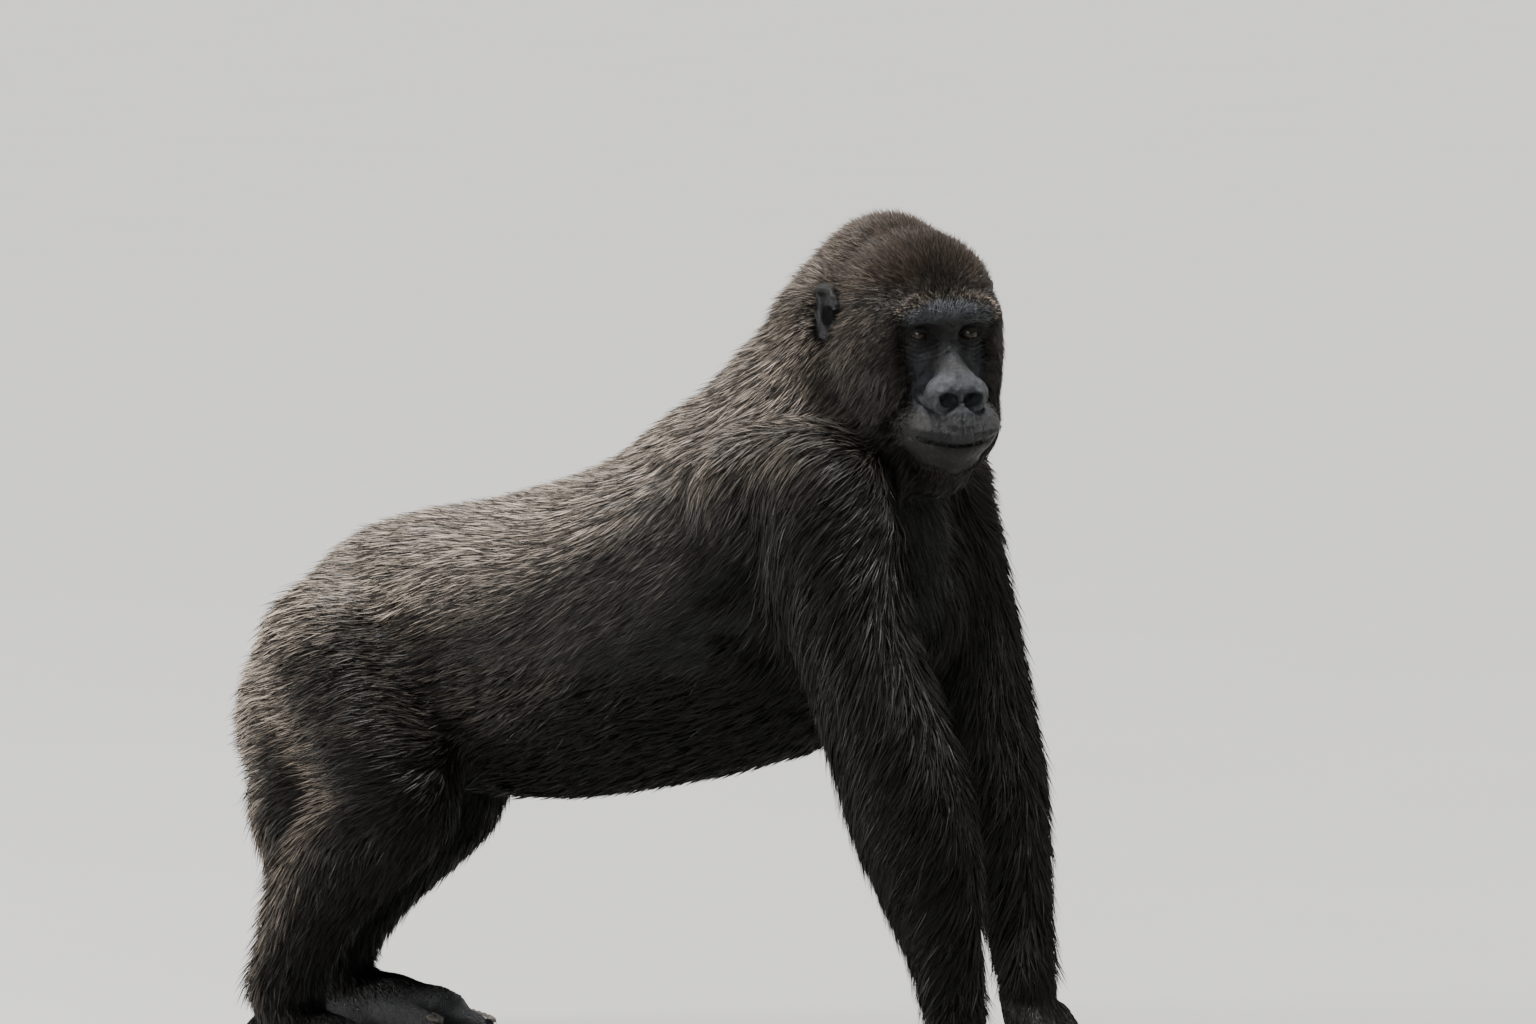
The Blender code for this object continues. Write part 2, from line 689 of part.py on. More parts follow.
# --- assembly -----------------------------------------------------------------------------------
def build():
    """Build the whole animal."""
    clear_scene()
    workshop = Workshop("gorilla")
    fur = finish("fur_back", FUR_BROWN, 0.75)
    black = finish("fur_limbs", FUR_BLACK, 0.70)
    crown = finish("fur_crown", FUR_CROWN, 0.75)
    skin = finish("skin", SKIN_BLACK, 0.50)
    wet = finish("eye", EYE_BROWN, 0.08)
    horn = finish("nail", NAIL_GREY, 0.40)

    floor = bmesh.new()
    bmesh.ops.create_cube(floor, size=2.0)
    bmesh.ops.translate(floor, vec=(0.0, 0.0, -1.0), verts=floor.verts)
    floor = workshop.cutter("floor", floor)

    neck = workshop.fuse("neck", neck_masses() + head_masses(), 0.0035, 12, HEAD_TRIANGLES)
    base = workshop.part_at(neck, NECK_AXIS[1], NECK_AXIS[1] - NECK_AXIS[2], "base")
    bpy.data.objects.remove(base, do_unlink=True)

    masses = trunk_masses()
    for arm in ARMS:
        masses += arm_masses(arm)
    for leg in LEGS:
        masses += leg_masses(leg)
    trunk = workshop.fuse("trunk", masses, 0.008, 14, BODY_TRIANGLES)
    workshop.clear_of(trunk, neck)
    upper_arms = [
        workshop.part_at(trunk, arm.seat, arm.facing, "upper_arm_" + arm.name) for arm in ARMS
    ]
    knees = (0.0, 0.0, KNEE_CUT)
    shanks = workshop.part_at(trunk, knees, (0.0, 0.0, -1.0), "shank_right", one_body=False)
    thighs = [workshop.part_at(trunk, leg.seat, leg.facing, "thigh_" + leg.name) for leg in LEGS]
    dress(trunk, fur)

    frame = head_frame()
    upwards = frame.to_3x3() @ Vector((0.0, 0.715, 0.699))
    head = workshop.part_at(neck, frame @ Vector((0.0, -0.115, -0.088)), upwards, "head")
    dress(neck, fur)

    for side, label in ((-1.0, "right"), (1.0, "left")):
        eye = workshop.add("eye_" + label, eye_ball(side, EYE_RADIUS))
        keep_largest(eye)
        dress(eye, wet)
        hollow = workshop.cutter("orbit_" + label, orbit(side))
        workshop.carve(head, hollow)
        bpy.data.objects.remove(hollow, do_unlink=True)
        workshop.clear_of(head, eye)
        ear = workshop.fuse("ear_" + label, ear_masses(side), 0.0018, 2, EAR_TRIANGLES)
        workshop.clear_of(ear, head)
        dress(ear, skin)
    dress(head, crown)

    for arm, upper in zip(ARMS, upper_arms):
        along = arm.wrist - arm.elbow
        forearm = workshop.part_at(upper, arm.elbow, along, "forearm_" + arm.name)
        spare = workshop.part_at(forearm, arm.wrist, along, "spare")
        bpy.data.objects.remove(spare, do_unlink=True)
        hand = workshop.fuse("hand_" + arm.name, hand_masses(arm), 0.0032, 3, HAND_TRIANGLES)
        palm = workshop.part_at(hand, arm.wrist, along, "palm")
        hand.data = palm.data
        bpy.data.objects.remove(palm, do_unlink=True)
        workshop.carve(hand, floor)
        dress(upper, black)
        dress(forearm, black)
        dress(hand, skin)
        _root, joint, tip = thumb_path(arm)
        thumb_nail = nail(
            workshop, "thumb_nail_" + arm.name, tip, tip - joint, (0.0, -1.0, 0.0), THUMB_RADIUS, hand
        )
        dress(thumb_nail, horn)
        for number in range(FINGER_COUNT):
            _base, _knuckle, middle, tip = finger_path(arm, number / (FINGER_COUNT - 1.0))
            name = "finger_nail_{}_{}".format(arm.name, number + 1)
            finger_nail = nail(
                workshop, name, tip, tip - middle, (0.0, 1.0, -0.5), FINGER_TIP_RADIUS, hand
            )
            dress(finger_nail, horn)

    lower_legs = [shanks, workshop.part_at(shanks, (0.0, 0.0, 0.0), (1.0, 0.0, 0.0), "shank_left")]
    for leg, thigh, shank in zip(LEGS, thighs, lower_legs):
        down = (0.0, 0.0, -1.0)
        spare = workshop.part_at(shank, leg.ankle, down, "spare")
        bpy.data.objects.remove(spare, do_unlink=True)
        foot = workshop.fuse("foot_" + leg.name, foot_masses(leg), 0.0034, 3, FOOT_TRIANGLES)
        sole = workshop.part_at(foot, leg.ankle, down, "sole")
        foot.data = sole.data
        bpy.data.objects.remove(sole, do_unlink=True)
        workshop.carve(foot, floor)
        dress(thigh, black)
        dress(shank, black)
        dress(foot, skin)
        for number in range(TOE_COUNT + 1):
            _base, joint, tip, radius = toe_path(leg, number)
            name = "toe_nail_{}_{}".format(leg.name, number + 1)
            toe_nail = nail(workshop, name, tip, tip - joint, (0.0, 0.0, 1.0), radius * 0.92, foot)
            dress(toe_nail, horn)

    bpy.data.objects.remove(floor, do_unlink=True)
    stand_over_origin(workshop.parts)


build()
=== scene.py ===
"""A young adult western gorilla on all fours, with its skin, face, coat, eyes and nails.

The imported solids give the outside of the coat. One skin is grown inside them, sculpted where the
face, ears, hands and feet are bare, and clad in tufts that follow the lie of the coat.
Lengths are metres throughout.
"""

import logging
import math
from dataclasses import dataclass, field
from enum import Enum

import bmesh
import bpy
import numpy as np
import openvdb
from mathutils import Matrix, Vector


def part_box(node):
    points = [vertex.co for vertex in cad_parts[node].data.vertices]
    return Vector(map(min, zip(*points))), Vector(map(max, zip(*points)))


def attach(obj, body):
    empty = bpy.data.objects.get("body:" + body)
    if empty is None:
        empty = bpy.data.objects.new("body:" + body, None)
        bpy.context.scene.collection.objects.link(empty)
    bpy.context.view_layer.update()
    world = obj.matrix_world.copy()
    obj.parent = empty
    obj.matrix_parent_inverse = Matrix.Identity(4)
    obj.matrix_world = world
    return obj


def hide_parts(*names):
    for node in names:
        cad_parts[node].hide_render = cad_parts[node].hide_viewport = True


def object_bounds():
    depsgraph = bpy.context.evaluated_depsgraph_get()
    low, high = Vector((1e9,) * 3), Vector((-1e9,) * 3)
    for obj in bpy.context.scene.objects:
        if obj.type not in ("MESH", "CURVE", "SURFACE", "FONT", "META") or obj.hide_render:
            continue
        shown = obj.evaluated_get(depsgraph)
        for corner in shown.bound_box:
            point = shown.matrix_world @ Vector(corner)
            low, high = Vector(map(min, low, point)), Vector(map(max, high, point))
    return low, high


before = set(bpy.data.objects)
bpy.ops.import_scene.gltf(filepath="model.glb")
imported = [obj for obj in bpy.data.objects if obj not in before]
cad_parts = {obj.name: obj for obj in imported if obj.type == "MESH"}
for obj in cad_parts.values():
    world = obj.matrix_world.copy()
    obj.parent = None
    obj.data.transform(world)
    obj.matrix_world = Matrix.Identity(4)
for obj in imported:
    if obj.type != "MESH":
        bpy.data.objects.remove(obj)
CAD_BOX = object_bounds()

log = logging.getLogger("gorilla")

SIDES: tuple[str, str] = ("right", "left")
BODY = "root"


# --- small numeric tools ---
def smooth_step(low: float, high: float, value: np.ndarray) -> np.ndarray:
    """Rise smoothly from 0 at low to 1 at high.

    Args:
        low: Value at which the step starts.
        high: Value at which the step ends; it may be below low for a falling step.
        value: Values to map.

    Returns:
        The step at each value.
    """
    share = np.clip((value - low) / (high - low), 0.0, 1.0)
    return share * share * (3.0 - 2.0 * share)


def bell(value: np.ndarray, centre: float, width: float) -> np.ndarray:
    """A smooth bump of height 1 about a centre."""
    return np.exp(-(((value - centre) / width) ** 2))


def join(first: np.ndarray, second: np.ndarray, blend: float) -> np.ndarray:
    """Smooth union of two distance fields.

    Args:
        first: Distances to one form.
        second: Distances to the other.
        blend: Width of the fillet between them.

    Returns:
        Distances to both forms together.
    """
    share = np.clip(0.5 + 0.5 * (second - first) / blend, 0.0, 1.0)
    return second * (1.0 - share) + first * share - blend * share * (1.0 - share)


def carve(body: np.ndarray, tool: np.ndarray, blend: float) -> np.ndarray:
    """Smoothly take a tool away from a body."""
    return -join(-body, tool, blend)


def ellipsoid(points: np.ndarray, centre: tuple, radii: tuple) -> np.ndarray:
    """Approximate distance to an ellipsoid.

    Args:
        points: Places to measure from, (N, 3).
        centre: Centre of the ellipsoid.
        radii: Its three half-axes.

    Returns:
        Signed distances, negative inside.
    """
    reach = np.asarray(radii)
    offset = points - np.asarray(centre)
    near = np.linalg.norm(offset / reach, axis=1)
    steep = np.linalg.norm(offset / (reach * reach), axis=1)
    return near * (near - 1.0) / np.maximum(steep, 1e-9)


def rod(points: np.ndarray, start: tuple, end: tuple, thick: float, thin: float) -> np.ndarray:
    """Distance to a tapered round rod.

    Args:
        points: Places to measure from, (N, 3).
        start: One end of its axis.
        end: The other end.
        thick: Radius at start.
        thin: Radius at end.

    Returns:
        Signed distances, negative inside.
    """
    base = np.asarray(start, float)
    axis = np.asarray(end, float) - base
    share = np.clip((points - base) @ axis / (axis @ axis), 0.0, 1.0)
    gap = np.linalg.norm(points - base - share[:, None] * axis, axis=1)
    return gap - (thick + (thin - thick) * share)


def chain(points: np.ndarray, stations: list[tuple], blend: float) -> np.ndarray:
    """Distance to a row of rods through (place, radius) stations.

    Args:
        points: Places to measure from, (N, 3).
        stations: (place, radius) pairs along the chain.
        blend: Width of the fillet where rods meet.

    Returns:
        Signed distances, negative inside.
    """
    total = None
    for (start, thick), (end, thin) in zip(stations, stations[1:]):
        piece = rod(points, start, end, thick, thin)
        total = piece if total is None else join(total, piece, blend)
    return total


def unit(vectors: np.ndarray) -> np.ndarray:
    """Scale each row to length 1."""
    return vectors / np.maximum(np.linalg.norm(vectors, axis=-1, keepdims=True), 1e-9)


def soften(values: np.ndarray, passes: int) -> np.ndarray:
    """Blur a grid of values with a small kernel.

    Args:
        values: Grid with three spatial axes in front.
        passes: How many times the kernel is applied.

    Returns:
        The blurred grid.
    """
    for _ in range(passes):
        for axis in range(3):
            ahead = np.roll(values, -1, axis)
            behind = np.roll(values, 1, axis)
            values = 0.5 * values + 0.25 * (ahead + behind)
    return values


def ripples(points: np.ndarray, pitch: float, seed: int) -> np.ndarray:
    """A smooth random field between about -1 and 1.

    Args:
        points: Places to evaluate, (N, 3).
        pitch: Typical distance between its humps.
        seed: Seed of the random waves.

    Returns:
        The field at each place.
    """
    waves = 12
    random = np.random.default_rng(seed)
    direction = unit(random.normal(size=(waves, 3)))
    scale = 2.0 * math.pi / (pitch * random.uniform(1.2, 2.6, waves))
    phase = random.uniform(0.0, 2.0 * math.pi, waves)
    total = np.sin(points @ (direction * scale[:, None]).T + phase).sum(axis=1)
    return total / math.sqrt(waves)


# --- where things are ---
@dataclass(frozen=True)
class HeadFrame:
    """The head's own axes: sideways to its left, forwards and up, from between the pupils."""

    origin: np.ndarray
    axes: np.ndarray

    @classmethod
    def from_eyes(cls) -> "HeadFrame":
        """Read the axes from the eyeballs.

        Returns:
            The axes.
        """
        centres = []
        radius = 0.0
        for side in SIDES:
            low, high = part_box("eye_" + side)
            centres.append(np.array((low + high) / 2.0))
            radius = (high.z - low.z) / 2.0
        sideways = centres[1] - centres[0]
        sideways /= np.linalg.norm(sideways)
        upwards = np.array((0.0, 0.0, 1.0))
        forwards = np.cross(sideways, upwards) * -1.0
        forwards = forwards if forwards[1] < 0.0 else -forwards
        middle = (centres[0] + centres[1]) / 2.0
        return cls(middle + forwards * radius, np.array((sideways, forwards, upwards)))

    def inward(self, points: np.ndarray) -> np.ndarray:
        """Turn world points into (sideways, forwards, up)."""
        return (points - self.origin) @ self.axes.T

    def outward(self, local: np.ndarray) -> np.ndarray:
        """Turn (sideways, forwards, up) into world points."""
        return local @ self.axes + self.origin


@dataclass(frozen=True)
class Grid:
    """A box of evenly spaced sample points."""

    low: np.ndarray
    step: float
    shape: tuple[int, int, int]

    @classmethod
    def around(cls, low: np.ndarray, high: np.ndarray, step: float, margin: float) -> "Grid":
        """Make a grid that covers a box and a margin round it.

        Args:
            low: Lowest corner of the box.
            high: Highest corner of the box.
            step: Distance between samples.
            margin: Room left round the box.

        Returns:
            The grid.
        """
        start = np.floor((low - margin) / step).astype(int)
        end = np.ceil((high + margin) / step).astype(int)
        return cls(start * step, step, tuple((end - start + 1).tolist()))

    def first(self) -> tuple[int, int, int]:
        """Index of the lowest corner, counted from the origin."""
        return tuple(np.rint(self.low / self.step).astype(int).tolist())

    def places(self) -> np.ndarray:
        """Return every sample point, (N, 3)."""
        axes = [self.low[i] + self.step * np.arange(self.shape[i]) for i in range(3)]
        return np.stack(np.meshgrid(*axes, indexing="ij"), axis=-1).reshape(-1, 3)

    def sample(self, values: np.ndarray, points: np.ndarray) -> np.ndarray:
        """Read a grid of values between its samples.

        Args:
            values: Array whose first three axes are the grid's.
            points: World points, (N, 3).

        Returns:
            One value, or one row of values, for each point.
        """
        place = (points - self.low) / self.step
        limit = np.array(self.shape) - 1.001
        place = np.clip(place, 0.0, limit)
        cell = place.astype(int)
        share = place - cell
        flat = values.reshape(int(np.prod(self.shape)), -1)
        strides = (self.shape[1] * self.shape[2], self.shape[2], 1)
        start = cell[:, 0] * strides[0] + cell[:, 1] * strides[1] + cell[:, 2]
        total = np.zeros((len(points), flat.shape[1]))
        for corner in range(8):
            bits = (corner >> 2 & 1, corner >> 1 & 1, corner & 1)
            weight = np.ones(len(points))
            index = start.copy()
            for axis in range(3):
                weight *= share[:, axis] if bits[axis] else 1.0 - share[:, axis]
                index += bits[axis] * strides[axis]
            total += flat[index] * weight[:, None]
        return total[:, 0] if values.ndim == 3 else total


# --- how each region is clad ---
@dataclass(frozen=True)
class CoatStyle:
    """The coat of one region.

    Attributes:
        depth: How far the skin lies beneath the tips.
        length: Length of a tuft.
        lie: Direction in which the tufts point.
        bare: 1 where there is no coat.
        grizzle_and_sheen: Strength of the brown-grey frosting, which also carries painted sheen and
            painted rim light.
    """

    depth: float
    length: float
    lie: tuple[float, float, float]
    bare: float = 0.0
    grizzle_and_sheen: float = 0.0


class Region(Enum):
    """Regions of the body and how each is clad."""

    trunk = CoatStyle(0.013, 0.032, (0.0, 1.0, -0.22), grizzle_and_sheen=1.0)
    neck = CoatStyle(0.015, 0.031, (0.0, 0.75, -0.70), grizzle_and_sheen=1.0)
    head = CoatStyle(0.008, 0.020, (0.0, 0.60, -0.60), grizzle_and_sheen=0.6)
    upper_arm = CoatStyle(0.018, 0.058, (0.0, 0.30, -1.0), grizzle_and_sheen=0.45)
    forearm = CoatStyle(0.018, 0.058, (0.0, 0.45, -1.0))
    hand = CoatStyle(0.0, 0.010, (0.0, 0.0, -1.0), bare=1.0)
    thigh = CoatStyle(0.014, 0.034, (0.0, 1.0, -0.34), grizzle_and_sheen=1.0)
    shank = CoatStyle(0.013, 0.036, (0.0, 0.45, -1.0), grizzle_and_sheen=0.6)
    foot = CoatStyle(0.0, 0.010, (0.0, -0.5, -0.6), bare=1.0)

    @classmethod
    def of_node(cls, node: str) -> "Region | None":
        """Find the region that a CAD node belongs to.

        Args:
            node: A CAD node's name.

        Returns:
            The region, or None where there is none.
        """
        for region in cls:
            if node == region.name or node in [region.name + "_" + side for side in SIDES]:
                return region
        return None


# --- the body as a distance field ---
@dataclass(frozen=True)
class Knuckles:
    """Grooves between the folded fingers of one hand."""

    centre: np.ndarray
    axis: np.ndarray
    gaps: np.ndarray
    reach: float = 0.080
    groove: float = 0.0046
    half_width: float = 0.0024
    hand_half_width: float = 0.080
    knuckle_height: float = 0.074

    @classmethod
    def from_nails(cls, side: str) -> "Knuckles":
        """Find the fingers by the nails at their ends.

        Args:
            side: One of SIDES.

        Returns:
            The hand's grooves.
        """
        spots = []
        for number in range(1, 5):
            low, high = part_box(f"finger_nail_{side}_{number}")
            spots.append(np.array((low + high) / 2.0))
        middle = np.mean(spots, axis=0)
        axis = unit(spots[3] - spots[0])
        along = (np.array(spots) - middle) @ axis
        return cls(middle, axis, (along[1:] + along[:-1]) / 2.0)

    def near(self, points: np.ndarray) -> np.ndarray:
        """1 on the folded fingers, fading out up the back of the hand.

        Args:
            points: World points.

        Returns:
            Shares from 0 to 1.
        """
        offset = points - self.centre
        along = offset @ self.axis
        away = np.linalg.norm(offset - along[:, None] * self.axis, axis=1)
        beside = smooth_step(self.hand_half_width, 0.75 * self.hand_half_width, np.abs(along))
        return smooth_step(self.reach, 0.7 * self.reach, away) * beside

    def cut(self, points: np.ndarray) -> np.ndarray:
        """Depth of the grooves at world points.

        Args:
            points: World points.

        Returns:
            Depths, 0 away from the fingers.
        """
        along = (points - self.centre) @ self.axis
        lines = sum(bell(along, gap, self.half_width) for gap in self.gaps)
        low = smooth_step(self.knuckle_height, 0.050, points[:, 2])
        return self.groove * lines * self.near(points) * low


@dataclass
class BodyShape:
    """The whole animal as one distance field, with the coat's qualities in space around it.

    Attributes:
        voxel: Spacing of the fine grid.
        coarse_step: Spacing of the grid that holds the coat's qualities.
        closing: How far solids reach out to close the thin cuts between them.
        limb_smoothing: Blur passes for hands and feet.
        body_smoothing: Blur passes for the rest.
    """

    head: HeadFrame
    face: "Face"
    voxel: float = 0.004
    coarse_step: float = 0.012
    closing: float = 0.0012
    limb_smoothing: int = 1
    body_smoothing: int = 9
    grid: Grid = field(init=False)
    coarse: Grid = field(init=False)
    outside: np.ndarray = field(init=False)
    owner: np.ndarray = field(init=False)
    spine: tuple = field(init=False)
    knuckles: tuple = field(init=False)
    qualities: dict = field(init=False, default_factory=dict)

    def build(self) -> None:
        """Measure the solids and spread the coat's qualities round them."""
        low = np.array(CAD_BOX[0])
        high = np.array(CAD_BOX[1])
        self.grid = Grid.around(low, high, self.voxel, 0.030)
        self.coarse = Grid.around(low, high, self.coarse_step, 0.036)
        union = np.full(self.grid.shape, 3.0 * self.voxel, np.float32)
        nearest = np.full(int(np.prod(self.coarse.shape)), np.inf)
        owner = np.zeros(len(nearest), int)
        places = self.coarse.places()
        regions = list(Region)
        for node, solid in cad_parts.items():
            region = Region.of_node(node)
            if region is None:
                continue
            corners, triangles = mesh_arrays(solid)
            self.add_solid(union, corners, triangles)
            gap = self.gap_to(solid, places)
            closer = gap < nearest
            nearest = np.where(closer, gap, nearest)
            owner[closer] = regions.index(region)
        self.outside = self.measure(union)
        self.owner = owner
        self.knuckles = tuple(Knuckles.from_nails(side) for side in SIDES)
        stations = np.linspace(-0.40, 0.38, 27)
        column = np.linspace(0.30, 1.05, 301)
        heights = []
        for y in stations:
            line = np.stack([np.zeros(301), np.full(301, y), column], axis=1)
            heights.append(column[self.grid.sample(self.outside, line) < 0.0].max())
        self.spine = (stations, np.array(heights))
        self.spread(places, owner, regions)

    def add_solid(self, union: np.ndarray, corners: np.ndarray, triangles: np.ndarray) -> None:
        """Merge one closed solid into the union.

        Args:
            union: Distances so far, changed in place.
            corners: The solid's vertices.
            triangles: The solid's triangles.
        """
        transform = openvdb.createLinearTransform(voxelSize=self.voxel)
        level = openvdb.FloatGrid.createLevelSetFromPolygons(
            corners.astype(np.float32), triangles=triangles.astype(np.uint32),
            transform=transform, halfWidth=3.0,
        )
        part = Grid.around(corners.min(axis=0), corners.max(axis=0), self.voxel, 0.014)
        values = np.zeros(part.shape, np.float32)
        level.copyToArray(values, ijk=part.first())
        start = [part.first()[i] - self.grid.first()[i] for i in range(3)]
        window = tuple(slice(start[i], start[i] + part.shape[i]) for i in range(3))
        union[window] = np.minimum(union[window], values)

    def gap_to(self, solid: bpy.types.Object, places: np.ndarray) -> np.ndarray:
        """Roughly how far each place is from a solid, from the nearest of its vertices.

        Args:
            solid: The CAD node.
            places: World points.

        Returns:
            Distances, and infinity far away.
        """
        corners, _ = mesh_arrays(solid)
        low = corners.min(axis=0) - 0.06
        high = corners.max(axis=0) + 0.06
        close = np.all((places > low) & (places < high), axis=1)
        gaps = np.full(len(places), np.inf)
        centres = corners[:: max(1, len(corners) // 220)]
        best = np.full(int(close.sum()), np.inf)
        chosen = places[close]
        for centre in centres:
            best = np.minimum(best, ((chosen - centre) ** 2).sum(axis=1))
        gaps[close] = np.sqrt(best)
        return gaps

    def measure(self, union: np.ndarray) -> np.ndarray:
        """Close the cuts, and measure true distances to the outside of the coat.

        Args:
            union: Narrow distances to the separate solids.

        Returns:
            Distances to the closed body, negative inside.
        """
        level = openvdb.FloatGrid()
        level.transform = openvdb.createLinearTransform(voxelSize=self.voxel)
        level.background = 3.0 * self.voxel
        level.copyFromArray(union, ijk=self.grid.first())
        points, triangles, quads = level.convertToPolygons(isovalue=self.closing)
        whole = openvdb.FloatGrid.createLevelSetFromPolygons(
            points, triangles=triangles, quads=quads,
            transform=openvdb.createLinearTransform(voxelSize=self.voxel),
            exBandWidth=8.0, inBandWidth=14.0,
        )
        values = np.zeros(self.grid.shape, np.float32)
        whole.copyToArray(values, ijk=self.grid.first())
        values += self.closing
        fine = soften(values, self.limb_smoothing)
        smooth = soften(fine, self.body_smoothing)
        ends = self.grid_weight()
        return (smooth * (1.0 - ends) + fine * ends).astype(np.float32)

    def grid_weight(self) -> np.ndarray:
        """1 near hands and feet, where the surface keeps its finer shape, and 0 elsewhere.

        Returns:
            Shares from 0 to 1, on the grid.
        """
        low = self.grid.low
        heights = low[2] + self.voxel * np.arange(self.grid.shape[2])
        weight = smooth_step(0.150, 0.105, heights)
        return np.broadcast_to(weight, self.grid.shape)

    def spread(self, places: np.ndarray, owner: np.ndarray, regions: list[Region]) -> None:
        """Fill the coarse grid with the coat's qualities and blur them.

        Args:
            places: The coarse grid's points.
            owner: Index of the region nearest to each point.
            regions: The regions that the indices count.
        """
        table = [region.value for region in regions]
        depth = np.array([style.depth for style in table])[owner]
        length = np.array([style.length for style in table])[owner]
        bare = np.array([style.bare for style in table])[owner]
        grizzle_and_sheen = np.array([style.grizzle_and_sheen for style in table])[owner]
        lie = unit(np.array([style.lie for style in table], float))[owner]
        lie = self.comb_body(places, lie)
        local = self.head.inward(places)
        head_share = (owner == regions.index(Region.head)).astype(float)
        lie = lie * (1.0 - head_share[:, None]) + comb_head(self.head, local) * head_share[:, None]
        shape = self.coarse.shape
        stacked = np.stack([depth, length, bare, grizzle_and_sheen, head_share], axis=-1)
        stacked = soften(stacked.reshape(*shape, 5), 3)
        names = ("depth", "length", "bare", "grizzle_and_sheen", "head_share")
        self.qualities = {name: stacked[..., i].copy() for i, name in enumerate(names)}
        self.qualities["lie"] = soften(lie.reshape(*shape, 3), 8)

    def comb_body(self, places: np.ndarray, lie: np.ndarray) -> np.ndarray:
        """Let the coat run down the flanks and round the haunches.

        Args:
            places: World points.
            lie: Directions to start from.

        Returns:
            The combed directions.
        """
        side = np.clip(np.abs(places[:, 0]) / 0.20, 0.0, 1.0) ** 1.5
        combed = lie.copy()
        ahead = 1.0 - 0.75 * smooth_step(0.06, 0.26, places[:, 1])
        combed[:, 2] -= 0.40 * side * ahead * smooth_step(0.30, 0.50, places[:, 2])
        combed[:, 0] += 0.20 * np.sign(places[:, 0]) * side
        slung = np.stack([0.62 * np.sign(places[:, 0]), np.full(len(places), 0.48),
                          np.full(len(places), -0.62)], axis=1)
        shoulder = smooth_step(0.52, 0.68, places[:, 2]) * smooth_step(0.08, -0.12, places[:, 1])
        shoulder *= smooth_step(0.08, 0.13, np.abs(places[:, 0]))
        combed = combed * (1.0 - shoulder[:, None]) + slung * shoulder[:, None]
        chest = smooth_step(-0.28, -0.38, places[:, 1]) * smooth_step(0.12, 0.05, side)
        combed[:, 1] -= 0.6 * chest * smooth_step(0.72, 0.60, places[:, 2])
        combed[:, 2] -= 0.8 * chest
        return unit(combed)

    def outward(self, points: np.ndarray) -> np.ndarray:
        """Outward normals of the plain body.

        Args:
            points: World points.

        Returns:
            Unit vectors, (N, 3).
        """
        normals = np.zeros_like(points)
        for axis in range(3):
            step = np.zeros(3)
            step[axis] = 0.003
            normals[:, axis] = (self.grid.sample(self.outside, points + step)
                                - self.grid.sample(self.outside, points - step))
        return unit(normals)

    def rear(self, points: np.ndarray) -> np.ndarray:
        """1 on the surfaces of rump and thighs that face backwards, 0 elsewhere."""
        facing = smooth_step(0.12, 0.62, self.outward(points)[:, 1])
        return facing * smooth_step(0.18, 0.32, points[:, 1])

    def below_spine(self, points: np.ndarray) -> np.ndarray:
        """How far each place lies below the line of the back."""
        return np.interp(points[:, 1], self.spine[0], self.spine[1]) - points[:, 2]

    def quality(self, name: str, points: np.ndarray) -> np.ndarray:
        """Read one of the coat's qualities at world points."""
        return self.coarse.sample(self.qualities[name], points)

    def region_at(self, points: np.ndarray) -> np.ndarray:
        """Index of the region that owns each world point.

        Args:
            points: World points.

        Returns:
            Indices into Region.
        """
        cell = np.rint((points - self.coarse.low) / self.coarse.step).astype(int)
        cell = np.clip(cell, 0, np.array(self.coarse.shape) - 1)
        shape = self.coarse.shape
        return self.owner[(cell[:, 0] * shape[1] + cell[:, 1]) * shape[2] + cell[:, 2]]

    def depth(self, points: np.ndarray) -> np.ndarray:
        """How far the skin lies beneath the outside of the coat.

        Args:
            points: World points.

        Returns:
            Depths, (N,).
        """
        local = self.head.inward(points)
        depth = self.quality("depth", points)
        head_share = self.quality("head_share", points)
        on_head = 0.0035 + (HEAD_COAT.depth_at(local) - 0.0035) * (1.0 - bare_face(local))
        return depth * (1.0 - head_share) + on_head * head_share

    def above_skin(self, points: np.ndarray) -> np.ndarray:
        """Height of each place above the skin, over the sculpted face but under the ears.

        Args:
            points: World points.

        Returns:
            Heights, negative inside.
        """
        gap = self.grid.sample(self.outside, points) + self.depth(points)
        local = self.head.inward(points)
        near = (local[:, 1] > -0.075) & (self.quality("head_share", points) > 0.5)
        if near.any():
            gap[near] = self.skin(points[near])
        return gap

    def skin(self, points: np.ndarray) -> np.ndarray:
        """Distance to the sculpted skin.

        Args:
            points: World points.

        Returns:
            Signed distances, negative inside.
        """
        total = self.grid.sample(self.outside, points) + self.depth(points)
        local = self.head.inward(points)
        near = np.linalg.norm(local - np.array((0.0, -0.06, -0.04)), axis=1) < 0.21
        if near.any():
            total[near] = self.face.sculpt(local[near], total[near])
        low = points[:, 2] < 0.080
        if low.any():
            total[low] += sum(hand.cut(points[low]) for hand in self.knuckles)
        return total

    def slope(self, points: np.ndarray, reach: float = 0.0012) -> np.ndarray:
        """Outward normals of the skin's field.

        Args:
            points: World points.
            reach: Half the distance between the places compared.

        Returns:
            Unit vectors, (N, 3).
        """
        normals = np.zeros_like(points)
        for axis in range(3):
            step = np.zeros(3)
            step[axis] = reach
            normals[:, axis] = self.skin(points + step) - self.skin(points - step)
        return unit(normals)


def mesh_arrays(obj: bpy.types.Object) -> tuple[np.ndarray, np.ndarray]:
    """Read an object's vertices and triangles.

    Args:
        obj: A mesh object at the origin.

    Returns:
        Vertices (N, 3) and triangles (M, 3).
    """
    mesh = obj.data
    corners = np.zeros(len(mesh.vertices) * 3, np.float64)
    mesh.vertices.foreach_get("co", corners)
    mesh.calc_loop_triangles()
    triangles = np.zeros(len(mesh.loop_triangles) * 3, np.int64)
    mesh.loop_triangles.foreach_get("vertices", triangles)
    return corners.reshape(-1, 3), triangles.reshape(-1, 3)


